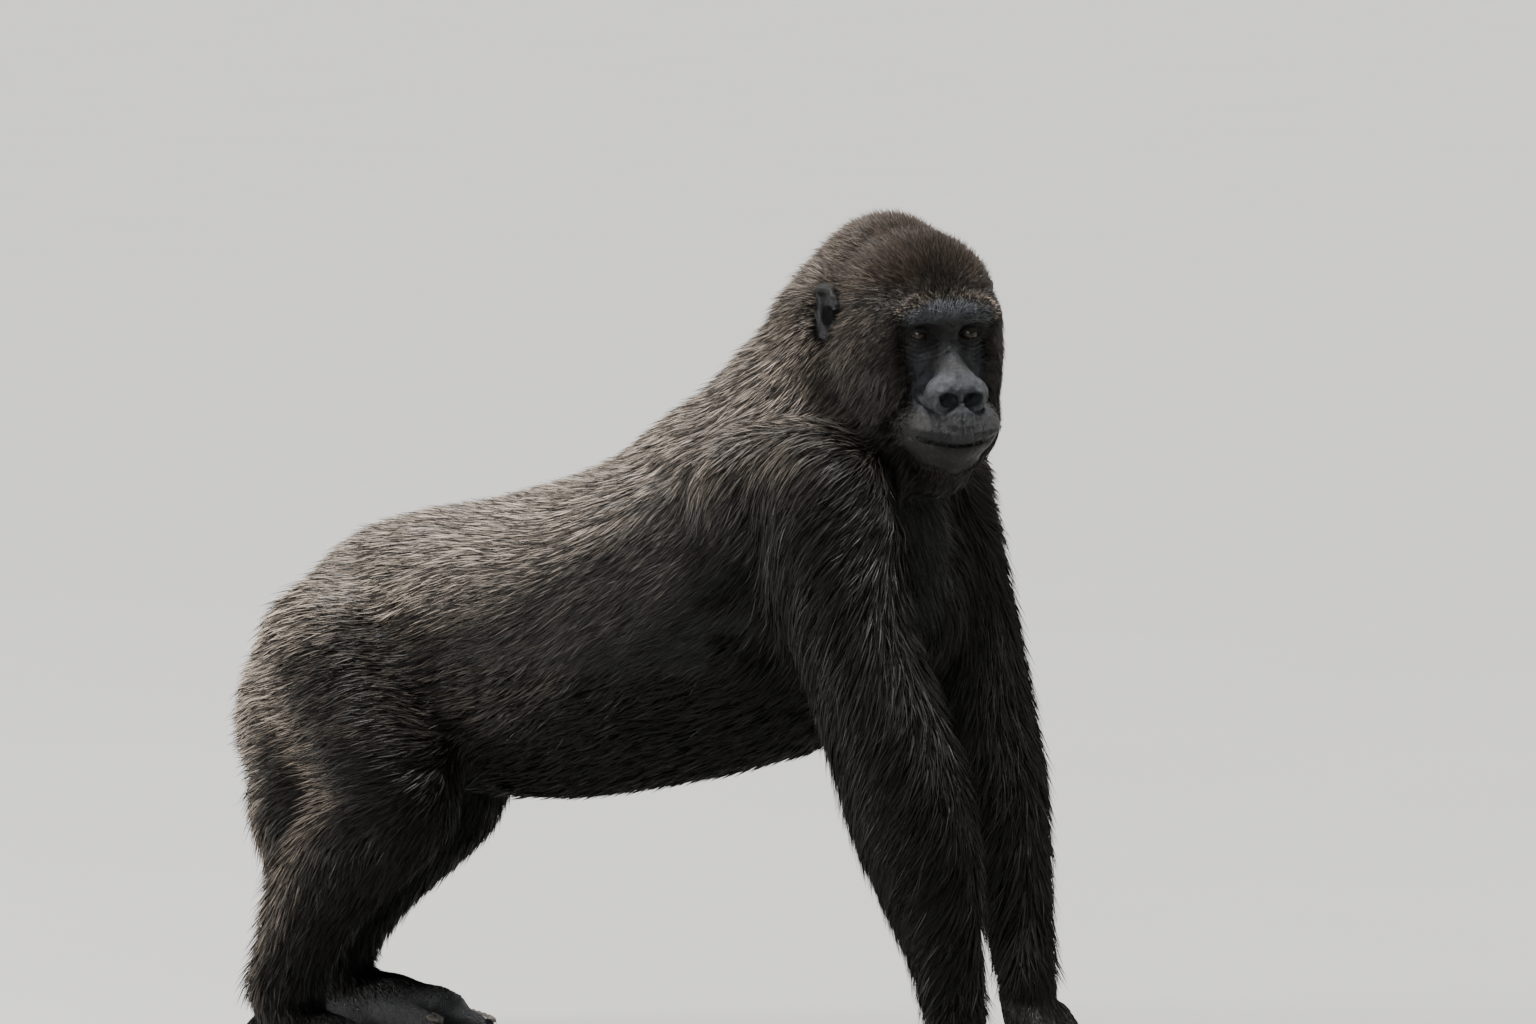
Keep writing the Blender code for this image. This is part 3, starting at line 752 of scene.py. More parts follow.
# --- the head ---
def inside_face(local: np.ndarray) -> np.ndarray:
    """How far each point lies inside the edge of the hairless face, seen from the front.

    Args:
        local: Points in the head's own axes.

    Returns:
        Distances, negative in the hair.
    """
    levels = (-0.160, -0.150, -0.138, -0.120, -0.097, -0.074, -0.050, -0.020, 0.000, 0.020, 0.045)
    halves = (0.000, 0.022, 0.048, 0.062, 0.066, 0.051, 0.046, 0.052, 0.057, 0.061, 0.061)
    across = np.abs(local[:, 0])
    sides = np.interp(local[:, 2], levels, halves) - across
    top = 0.0455 - 4.6 * across ** 2 - local[:, 2]
    limits = np.interp(local[:, 2], (-0.150, -0.100, -0.050, 0.000, 0.040),
                       (-0.058, -0.058, -0.032, -0.028, -0.034))
    inside = np.minimum(np.minimum(sides, top), local[:, 1] - limits)
    return inside + 0.0022 * ripples(local, 0.022, 61)


def bare_face(local: np.ndarray) -> np.ndarray:
    """1 on the bare face and 0 in the hair round it.

    Args:
        local: Points in the head's own axes.

    Returns:
        Share of bare skin.
    """
    front = smooth_step(-0.062, -0.040, local[:, 1])
    return smooth_step(-0.007, 0.005, inside_face(local)) * front


def comb_head(head: HeadFrame, local: np.ndarray) -> np.ndarray:
    """Direction in which the hair of the head points.

    Args:
        head: The head's own axes.
        local: Points in those axes.

    Returns:
        Unit vectors in world axes.
    """
    away = unit(local - np.array((0.0, 0.015, -0.030)))
    side = smooth_step(0.02, 0.075, np.abs(local[:, 0])) * smooth_step(0.085, 0.0, local[:, 2])
    behind = smooth_step(-0.05, -0.16, local[:, 1])
    combed = away.copy()
    combed[:, 1] -= 0.75 * (1.0 - 0.55 * side) + 0.5 * behind
    combed[:, 2] -= 2.0 * side + 0.9 * behind
    under = smooth_step(-0.12, -0.16, local[:, 2])
    combed[:, 1] += 0.75 * under
    return unit(combed) @ head.axes


@dataclass(frozen=True)
class HeadCoat:
    """Depth and length of the coat over the head."""

    crown_depth: float = 0.009
    cheek_depth: float = 0.009
    nape_depth: float = 0.014
    crown_length: float = 0.0115
    cheek_length: float = 0.027
    nape_length: float = 0.027
    edge_length: float = 0.0065

    def mix(self, local: np.ndarray, crown: float, cheek: float, nape: float) -> np.ndarray:
        """Blend three values over the head.

        Args:
            local: Points in the head's own axes.
            crown: Value on the crown.
            cheek: Value on the cheeks.
            nape: Value on the nape.

        Returns:
            The value at each point.
        """
        low = smooth_step(0.045, -0.035, local[:, 2])
        back = smooth_step(-0.13, -0.24, local[:, 1])
        value = crown + (cheek - crown) * low
        return value + (nape - value) * back

    def depth_at(self, local: np.ndarray) -> np.ndarray:
        """Depth of the skin beneath the tips."""
        depth = self.mix(local, self.crown_depth, self.cheek_depth, self.nape_depth)
        return depth * (0.35 + 0.65 * smooth_step(0.0, 0.028, self.from_face(local)))

    def length_at(self, local: np.ndarray) -> np.ndarray:
        """Length of a tuft.

        Args:
            local: Points in the head's own axes.

        Returns:
            Lengths, (N,).
        """
        length = self.mix(local, self.crown_length, self.cheek_length, self.nape_length)
        grown = smooth_step(-0.006, 0.026, self.from_face(local))
        return self.edge_length + (length - self.edge_length) * grown

    @staticmethod
    def from_face(local: np.ndarray) -> np.ndarray:
        """Rough distance outwards from the edge of the bare face."""
        behind = np.maximum(-0.045 - local[:, 1], 0.0)
        return np.maximum(-inside_face(local), behind)


HEAD_COAT = HeadCoat()


@dataclass(frozen=True)
class Face:
    """The sculpted face and ears, in the head's own axes, for the left side and its mirror.

    Attributes:
        eye_spacing: Distance between the pupils.
        eye_radius: Radius of an eyeball.
        ear_centre: Middle of the left ear.
        ear_half_height: Half the height of an ear.
    """

    eye_spacing: float
    eye_radius: float
    ear_centre: np.ndarray
    ear_half_height: float
    lid_thickness: float = 0.0020
    opening_half_width: float = 0.0122
    opening_half_height: float = 0.0047
    nostril: tuple = (0.0143, 0.046, -0.0712)
    mouth_level: float = -0.1228
    mouth_half_width: float = 0.0545
    ear_flares: tuple = (40.0, 22.0)
    ear_half_width: float = 0.0195

    @classmethod
    def from_frame(cls, head: HeadFrame) -> "Face":
        """Read the places of eyes and ears from their solids.

        Args:
            head: The head's own axes.

        Returns:
            The face.
        """
        spots = []
        for side in SIDES:
            low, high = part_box("eye_" + side)
            spots.append(np.array((low + high) / 2.0))
        radius = (high.z - low.z) / 2.0
        corners, _ = mesh_arrays(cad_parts["ear_left"])
        local = head.inward(corners)
        low, high = local.min(axis=0), local.max(axis=0)
        spacing = float(np.linalg.norm(spots[1] - spots[0]))
        return cls(spacing, radius, (low + high) / 2.0, float(high[2] - low[2]) / 2.0)

    def sculpt(self, local: np.ndarray, base: np.ndarray) -> np.ndarray:
        """Add the face and ears to the skin.

        Args:
            local: Points in the head's own axes.
            base: Distances to the plain skin there.

        Returns:
            Distances to the sculpted skin.
        """
        mirrored = local.copy()
        mirrored[:, 0] = np.abs(mirrored[:, 0])
        total = base.copy()
        front = mirrored[:, 1] > -0.070
        if front.any():
            q = mirrored[front]
            part = join(base[front], self.masses(q), 0.010)
            part = self.brow(q, part)
            part = self.eyes(q, part)
            part = self.nose(q, part)
            part = self.mouth(q, part)
            total[front] = self.wrinkles(q, part)
        for side, flare in zip((-1.0, 1.0), self.ear_flares):
            here = local[:, 0] * side > 0.0
            total[here] = self.ears(mirrored[here], total[here], flare)
        return total

    def masses(self, p: np.ndarray) -> np.ndarray:
        """Cheekbones, muzzle, chin and jowls.

        Args:
            p: Mirrored points in the head's own axes.

        Returns:
            Signed distances, negative inside.
        """
        total = ellipsoid(p, (0.0, -0.040, -0.030), (0.066, 0.044, 0.073))
        total = join(total, ellipsoid(p, (0.044, -0.034, -0.046), (0.028, 0.034, 0.040)), 0.014)
        total = join(total, ellipsoid(p, (0.0170, -0.006, -0.0300), (0.0170, 0.0170, 0.0260)),
                     0.012)
        total = join(total, ellipsoid(p, (0.0, -0.003, -0.131), (0.042, 0.041, 0.0315)), 0.010)
        total = join(total, ellipsoid(p, (0.0295, 0.0050, -0.1020), (0.0305, 0.0395, 0.0245)),
                     0.012)
        total = join(total, ellipsoid(p, (0.0, 0.0090, -0.0980), (0.036, 0.0400, 0.0265)), 0.010)
        return join(total, ellipsoid(p, (0.052, -0.048, 0.010), (0.026, 0.038, 0.029)), 0.016)

    def brow(self, p: np.ndarray, total: np.ndarray) -> np.ndarray:
        """The heavy ridge over the eyes, with a slight dip in its middle.

        Args:
            p: Mirrored points in the head's own axes.
            total: Distances to the head so far.

        Returns:
            The new distances.
        """
        stations = [
            ((0.000, 0.0125, 0.0255), 0.0120), ((0.020, 0.0130, 0.0275), 0.0130),
            ((0.038, 0.0070, 0.0265), 0.0130), ((0.054, -0.0100, 0.0210), 0.0125),
            ((0.063, -0.0340, 0.0090), 0.0092),
        ]
        return join(total, chain(p, stations, 0.010), 0.010)

    def eye_middle(self) -> tuple[float, float, float]:
        """Centre of the left eyeball."""
        return (self.eye_spacing / 2.0, -self.eye_radius, 0.0)

    def eyes(self, p: np.ndarray, total: np.ndarray) -> np.ndarray:
        """Sockets, lids and the openings that the eyes look through.

        Args:
            p: Mirrored points in the head's own axes.
            total: Distances to the head so far.

        Returns:
            The new distances.
        """
        middle = self.eye_middle()
        hollow = ellipsoid(p, (middle[0] + 0.001, 0.0090, -0.0010), (0.0215, 0.0160, 0.0140))
        total = carve(total, hollow, 0.007)
        pouch = ellipsoid(p, (middle[0] + 0.001, -0.0100, -0.0135), (0.0185, 0.0125, 0.0080))
        total = join(total, pouch, 0.006)
        away = np.linalg.norm(p - np.array(middle), axis=1)
        total = join(total, away - self.eye_radius - self.lid_thickness, 0.0035)
        across = p[:, 0] - middle[0]
        share = np.clip(1.0 - np.abs(across / self.opening_half_width) ** 2.2, -1.0, 1.0)
        centre_line = -0.0006 + 0.04 * across
        lens = np.abs(p[:, 2] - centre_line) - self.opening_half_height * share
        slot = np.maximum(lens * 0.85, middle[1] + 0.001 - p[:, 1])
        slot = np.maximum(slot, away - 0.020)
        total = carve(total, slot, 0.0010)
        upper = self.arc_gap(p, middle, self.opening_half_width * 1.2, 0.0098, 0.0010)
        lower = self.arc_gap(p, middle, self.opening_half_width * 1.1, -0.0092, -0.0005)
        ahead = smooth_step(middle[1], middle[1] + 0.004, p[:, 1])
        folds = 0.0016 * bell(upper, 0.0, 0.0013) + 0.0012 * bell(lower, 0.0, 0.0012)
        return total + ahead * folds

    def arc_gap(self, p: np.ndarray, middle: tuple, half: float, rise: float,
                drop: float) -> np.ndarray:
        """Height above an arch over or under the eye.

        Args:
            p: Mirrored points in the head's own axes.
            middle: Centre of the eye.
            half: Half-width of the arch.
            rise: Height of the arch's crown above the eye; negative below it.
            drop: Height of the arch's ends above the eye.

        Returns:
            Vertical distances, large beyond the arch's ends.
        """
        share = (p[:, 0] - middle[0]) / half
        line = middle[2] + drop + (rise - drop) * (1.0 - share * share)
        return np.where(np.abs(share) < 1.05, p[:, 2] - line, 1.0)

    def nose(self, p: np.ndarray, total: np.ndarray) -> np.ndarray:
        """Bridge, heart-shaped pad, wings and nostrils.

        Args:
            p: Mirrored points in the head's own axes.
            total: Distances to the head so far.

        Returns:
            The new distances.
        """
        bridge = [
            ((0.0, 0.002, 0.020), 0.0100), ((0.0, 0.0050, 0.000), 0.0080),
            ((0.0, 0.0105, -0.018), 0.0088), ((0.0, 0.0180, -0.034), 0.0112),
            ((0.0, 0.0275, -0.050), 0.0142),
        ]
        total = join(total, chain(p, bridge, 0.008), 0.012)
        total = join(total, ellipsoid(p, (0.0, 0.0290, -0.0580), (0.0180, 0.0185, 0.0180)), 0.008)
        lobe = ellipsoid(p, (0.0222, 0.0295, -0.0650), (0.0152, 0.0165, 0.0190))
        total = join(total, lobe, 0.0065)
        slope = ellipsoid(p, (0.0090, 0.0255, -0.0530), (0.0140, 0.0155, 0.0160))
        total = join(total, slope, 0.010)
        wing = [
            ((0.0060, 0.0385, -0.0600), 0.0070), ((0.0160, 0.0365, -0.0580), 0.0078),
            ((0.0265, 0.0320, -0.0670), 0.0084), ((0.0245, 0.0330, -0.0800), 0.0068),
            ((0.0110, 0.0400, -0.0850), 0.0052), ((0.0, 0.0420, -0.0840), 0.0048),
        ]
        total = join(total, chain(p, wing, 0.005), 0.0050)
        septum = [((0.0, 0.0400, -0.0560), 0.0060), ((0.0, 0.0455, -0.0700), 0.0030),
                  ((0.0, 0.0430, -0.0850), 0.0040)]
        total = join(total, ellipsoid(p, (0.0, 0.0290, -0.0690), (0.0280, 0.0140, 0.0170)), 0.004)
        total = join(total, chain(p, septum, 0.003), 0.0025)
        offset = p - np.array(self.nostril)
        tilt = math.radians(16.0)
        turned = np.stack([
            offset[:, 0] * math.cos(tilt) + offset[:, 2] * math.sin(tilt),
            offset[:, 1],
            -offset[:, 0] * math.sin(tilt) + offset[:, 2] * math.cos(tilt),
        ], axis=1)
        pit = ellipsoid(turned, (0.0, -0.0040, 0.0), (0.0118, 0.0190, 0.0086))
        total = carve(total, pit, 0.0025)
        ring = np.linalg.norm((p - np.array((0.0222, 0.0, -0.0650)))[:, [0, 2]]
                              / np.array((0.0164, 0.0200)), axis=1)
        outer = smooth_step(0.0190, 0.0265, p[:, 0]) + smooth_step(-0.075, -0.082, p[:, 2])
        groove = bell(ring, 1.06, 0.11) * np.clip(outer, 0.0, 1.0)
        return total + 0.0038 * groove * smooth_step(0.000, 0.014, p[:, 1])

    def mouth(self, p: np.ndarray, total: np.ndarray) -> np.ndarray:
        """Lips and the line between them.

        Args:
            p: Mirrored points in the head's own axes.
            total: Distances to the head so far.

        Returns:
            The new distances.
        """
        across = p[:, 0] / self.mouth_half_width
        line = self.mouth_level + 0.0105 * across ** 2 - 0.0012 * bell(p[:, 0], 0.0, 0.012)
        above = p[:, 2] - line
        front = smooth_step(-0.035, -0.012, p[:, 1])
        within = smooth_step(1.08, 0.86, np.abs(across)) * front
        upper = bell(above, 0.0085, 0.0075) * within
        lower = bell(above, -0.0080, 0.0070) * within
        total = total - 0.0026 * upper - 0.0020 * lower
        total = total + 0.0020 * bell(above, -0.0205, 0.0050) * within
        return total + 0.0055 * bell(above, 0.0, 0.0017) * within

    def wrinkles(self, p: np.ndarray, total: np.ndarray) -> np.ndarray:
        """Folds under the eyes, beside the nose and down the upper lip.

        Args:
            p: Mirrored points in the head's own axes.
            total: Distances to the head so far.

        Returns:
            The new distances.
        """
        middle = self.eye_middle()
        front = smooth_step(-0.045, -0.020, p[:, 1])
        wander = 0.0011 * ripples(p, 0.012, 71)
        folds = np.zeros(len(p))
        for number in range(4):
            drop = -0.0130 - 0.0052 * number
            gap = self.arc_gap(p, middle, 0.020 + 0.002 * number, drop, drop + 0.0090)
            folds += (1.5 - 0.20 * number) * bell(gap + wander, 0.0, 0.0014)
        for number in range(5):
            start = np.array((0.0135 + 0.0062 * number, -0.022 - 0.004 * number))
            end = np.array((0.0385 + 0.0035 * number, -0.056 - 0.005 * number))
            folds += (1.0 - 0.15 * number) * self.crease(p, start, end, wander, 0.0014)
        for number in range(3):
            start = np.array((0.0400 + 0.0010 * number, -0.076 - 0.0050 * number))
            end = np.array((0.0500, -0.080 - 0.0075 * number))
            folds += 0.8 * self.crease(p, start, end, wander, 0.0013)
        lip = smooth_step(-0.083, -0.092, p[:, 2]) * smooth_step(-0.120, -0.110, p[:, 2])
        for number, across in enumerate((0.0, 0.0065, 0.0130, 0.0195, 0.0265, 0.0340, 0.0415)):
            sway = 0.0010 * np.sin(p[:, 2] * 320.0 + 1.7 * number) + 0.10 * (p[:, 2] + 0.1)
            strength = (0.9, 0.30, 0.45, 0.30, 0.5, 0.4, 0.35)[number]
            folds += strength * lip * bell(p[:, 0] + sway * (number > 0), across, 0.0012)
        for level in (0.0100, 0.0030, -0.0050):
            folds += 0.7 * bell(p[:, 2] + wander, level, 0.0014) * bell(p[:, 0], 0.0, 0.0085)
        for level in (0.0250, 0.0310, 0.0370):
            reach = bell(p[:, 0], 0.022, 0.030)
            folds += 0.35 * bell(p[:, 2] + 6.0 * p[:, 0] ** 2 + wander, level, 0.0014) * reach
        grain = 0.00030 * ripples(p, 0.0042, 73) + 0.00035 * ripples(p, 0.0085, 79)
        return total + (0.0020 * folds + grain) * front

    @staticmethod
    def crease(p: np.ndarray, start: np.ndarray, end: np.ndarray, wander: np.ndarray,
               width: float) -> np.ndarray:
        """A short straight fold seen from the front.

        Args:
            p: Mirrored points in the head's own axes.
            start: One end (sideways, up).
            end: The other end.
            wander: Sideways wobble of the line.
            width: Half-width of the fold.

        Returns:
            Strength from 0 to 1.
        """
        axis = end - start
        offset = p[:, [0, 2]] - start
        share = np.clip(offset @ axis / (axis @ axis), 0.0, 1.0)
        away = np.linalg.norm(offset - share[:, None] * axis, axis=1)
        return bell(away + wander * 0.6, 0.0, width) * bell(share, 0.5, 0.48)

    def ears(self, p: np.ndarray, total: np.ndarray, degrees_out: float) -> np.ndarray:
        """One small ear: a rolled rim round a hollow, with a notch and a lobe.

        Args:
            p: Mirrored points in the head's own axes, on one side of it.
            total: Distances to the skin there.
            degrees_out: How far the ear stands out from the head.

        Returns:
            Distances to the skin with its ear.
        """
        near = np.linalg.norm(p - self.ear_centre, axis=1) < 0.060
        if not near.any():
            return total
        offset = p[near] - self.ear_centre
        part = total[near]
        flare = math.radians(degrees_out)
        q = np.stack([
            offset[:, 0] * math.cos(flare) + offset[:, 1] * math.sin(flare),
            offset[:, 0] * math.sin(flare) - offset[:, 1] * math.cos(flare),
            offset[:, 2],
        ], axis=1)
        tall = self.ear_half_height - 0.0045
        wide = self.ear_half_width - 0.0042
        plate = ellipsoid(q, (-0.0015, 0.0, 0.001), (0.0048, wide * 1.04, tall * 1.02))
        part = join(part, plate, 0.004)
        part = join(part, ellipsoid(q, (-0.010, -0.004, 0.0), (0.012, 0.012, 0.020)), 0.006)
        stations = []
        for degrees in range(-100, 211, 20):
            angle = math.radians(degrees)
            lower = smooth_step(10.0, -90.0, np.array(float(degrees)))
            reach = wide * (1.0 - 0.25 * float(lower))
            place = (0.0022 + 0.0015 * math.sin(angle), reach * math.cos(angle),
                     tall * math.sin(angle))
            thick = 0.0038 + 0.0012 * max(0.0, math.sin(angle))
            stations.append((place, thick))
        part = join(part, chain(q, stations, 0.0015), 0.0012)
        inner = [((0.0020, -0.002, 0.017), 0.0026), ((0.0030, 0.005, 0.006), 0.0030),
                 ((0.0028, 0.004, -0.008), 0.0028), ((0.0020, -0.001, -0.016), 0.0026)]
        part = join(part, chain(q, inner, 0.002), 0.0015)
        part = join(part, ellipsoid(q, (0.0015, -0.002, -0.0255), (0.0050, 0.0080, 0.0068)), 0.002)
        part = join(part, ellipsoid(q, (0.0030, -0.0135, -0.003), (0.0042, 0.0036, 0.0065)), 0.002)
        hollow = ellipsoid(q, (0.0050, -0.0050, -0.004), (0.0105, 0.0070, 0.0120))
        part = carve(part, hollow, 0.0015)
        scoop = ellipsoid(q, (0.0060, 0.0100, 0.009), (0.0068, 0.0036, 0.0150))
        part = carve(part, scoop, 0.0012)
        bowl = ellipsoid(q, (0.0070, 0.0010, 0.0165), (0.0072, 0.0068, 0.0060))
        part = carve(part, bowl, 0.0015)
        total[near] = part
        return total


# --- the skin ---
@dataclass
class SkinMesh:
    """The one skin that stands for every node of flesh.

    Attributes:
        shape: The body's field.
        step: Edge length of the plain skin.
        island_gap: Room between the islands of the unwrap.
    """

    shape: BodyShape
    step: float = 0.008
    island_gap: float = 0.002
    piece: bpy.types.Object = field(init=False)

    def build(self) -> bpy.types.Object:
        """Grow, unwrap, refine and sculpt the skin.

        Returns:
            The skin's object.
        """
        points, faces = self.grow()
        mesh = bpy.data.meshes.new("skin")
        mesh.from_pydata(points.tolist(), [], faces)
        self.piece = bpy.data.objects.new("skin", mesh)
        bpy.context.scene.collection.objects.link(self.piece)
        self.unwrap()
        self.refine()
        self.settle()
        mesh.shade_smooth()
        return self.piece

    def grow(self) -> tuple[np.ndarray, list]:
        """Draw the surface on a coarse grid.

        Returns:
            Vertices and faces.
        """
        low, high = np.array(CAD_BOX[0]), np.array(CAD_BOX[1])
        grid = Grid.around(low, high, self.step, 0.024)
        places = grid.places()
        rough = self.shape.grid.sample(self.shape.outside, places)
        near = (rough < 0.030) & (rough > -0.050)
        values = np.where(rough > 0.0, 0.030, -0.030)
        values[near] = self.shape.skin(places[near])
        level = openvdb.FloatGrid()
        level.transform = openvdb.createLinearTransform(voxelSize=self.step)
        level.background = 0.030
        level.copyFromArray(values.reshape(grid.shape).astype(np.float32), ijk=grid.first())
        points, triangles, quads = level.convertToPolygons(isovalue=0.0)
        faces = [face[::-1].tolist() for face in quads]
        faces += [face[::-1].tolist() for face in triangles]
        return points.astype(float), faces

    def unwrap(self) -> None:
        """Unwrap the plain skin by its own shape, before it is refined."""
        bpy.context.view_layer.objects.active = self.piece
        self.piece.select_set(True)
        bpy.ops.object.mode_set(mode="EDIT")
        bpy.ops.mesh.select_all(action="SELECT")
        bpy.ops.mesh.delete_loose()
        bpy.ops.mesh.select_all(action="SELECT")
        bpy.ops.mesh.normals_make_consistent(inside=False)
        bpy.ops.uv.smart_project(angle_limit=math.radians(66.0), island_margin=self.island_gap)
        bpy.ops.object.mode_set(mode="OBJECT")
        self.piece.select_set(False)
        self.piece.data.uv_layers[0].name = "OFBake"

    def fineness(self, points: np.ndarray) -> np.ndarray:
        """Wanted edge length at each place.

        Args:
            points: World points.

        Returns:
            Edge lengths.
        """
        wanted = np.full(len(points), self.step)
        wanted[points[:, 2] < 0.125] = 0.005
        low = points[:, 2] < 0.085
        fingers = np.maximum(*(hand.near(points) for hand in self.shape.knuckles))
        wanted[low & (fingers > 0.1)] = 0.0026
        local = self.shape.head.inward(points)
        mirrored = np.abs(local[:, 0])
        front = local[:, 1] > -0.075
        head = np.linalg.norm(local / np.array((0.095, 0.1, 0.2)), axis=1) < 1.0
        wanted[head & front] = 0.0035
        face = np.linalg.norm((local - np.array((0.0, 0.0, -0.055)))
                              / np.array((0.066, 0.07, 0.095)), axis=1) < 1.0
        wanted[face] = 0.0019
        places = np.stack([mirrored, local[:, 1], local[:, 2]], axis=1)
        ear = np.linalg.norm(places - self.shape.face.ear_centre, axis=1) < 0.038
        wanted[ear] = 0.0020
        eye = np.linalg.norm(np.stack([mirrored - 0.0315, local[:, 1] + 0.004,
                                       local[:, 2]], axis=1)
                             / np.array((0.0165, 0.014, 0.0095)), axis=1) < 1.0
        nose = np.linalg.norm(np.stack([mirrored - 0.016, local[:, 1] - 0.036,
                                        local[:, 2] + 0.068], axis=1)
                              / np.array((0.026, 0.024, 0.022)), axis=1) < 1.0
        lips = (face & (np.abs(local[:, 2] + 0.122) < 0.006) & (local[:, 1] > -0.01))
        inner = face & (mirrored < 0.050) & (local[:, 2] > -0.125) & (local[:, 2] < 0.030)
        wanted[inner & (local[:, 1] > -0.030)] = 0.0014
        wanted[nose | lips] = 0.0010
        wanted[eye] = 0.0008
        return wanted

    def refine(self) -> None:
        """Split edges until each is as short as its place wants."""
        mesh = self.piece.data
        for _ in range(5):
            build = bmesh.new()
            build.from_mesh(mesh)
            build.edges.ensure_lookup_table()
            ends = np.array([(edge.verts[0].index, edge.verts[1].index) for edge in build.edges])
            points = np.array([vert.co for vert in build.verts])
            lengths = np.linalg.norm(points[ends[:, 0]] - points[ends[:, 1]], axis=1)
            middles = (points[ends[:, 0]] + points[ends[:, 1]]) / 2.0
            long = np.nonzero(lengths > 1.45 * self.fineness(middles))[0]
            if len(long) == 0:
                build.free()
                break
            chosen = [build.edges[i] for i in long.tolist()]
            bmesh.ops.subdivide_edges(build, edges=chosen, cuts=1, use_grid_fill=True)
            bmesh.ops.triangulate(build, faces=[f for f in build.faces if len(f.verts) > 4])
            build.to_mesh(mesh)
            build.free()
            self.settle(3)

    def settle(self, rounds: int = 8) -> None:
        """Bring the vertices onto the sculpted surface and even out their spacing.

        Args:
            rounds: How often they are moved.
        """
        mesh = self.piece.data
        points = np.zeros(len(mesh.vertices) * 3)
        mesh.vertices.foreach_get("co", points)
        points = points.reshape(-1, 3)
        ends = np.zeros(len(mesh.edges) * 2, np.int64)
        mesh.edges.foreach_get("vertices", ends)
        ends = ends.reshape(-1, 2)
        count = np.bincount(ends.ravel(), minlength=len(points))
        for turn in range(rounds):
            normals = self.shape.slope(points, 0.0006)
            gap = np.clip(self.shape.skin(points), -0.004, 0.004)
            points = points - 0.9 * gap[:, None] * normals
            if turn < rounds - 2:
                total = np.zeros_like(points)
                for axis in range(3):
                    total[:, axis] = (
                        np.bincount(ends[:, 0], points[ends[:, 1], axis], len(points))
                        + np.bincount(ends[:, 1], points[ends[:, 0], axis], len(points))
                    )
                drift = total / np.maximum(count, 1)[:, None] - points
                drift -= normals * (drift * normals).sum(axis=1)[:, None]
                points = points + 0.45 * drift
        mesh.vertices.foreach_set("co", points.ravel())
        mesh.update()


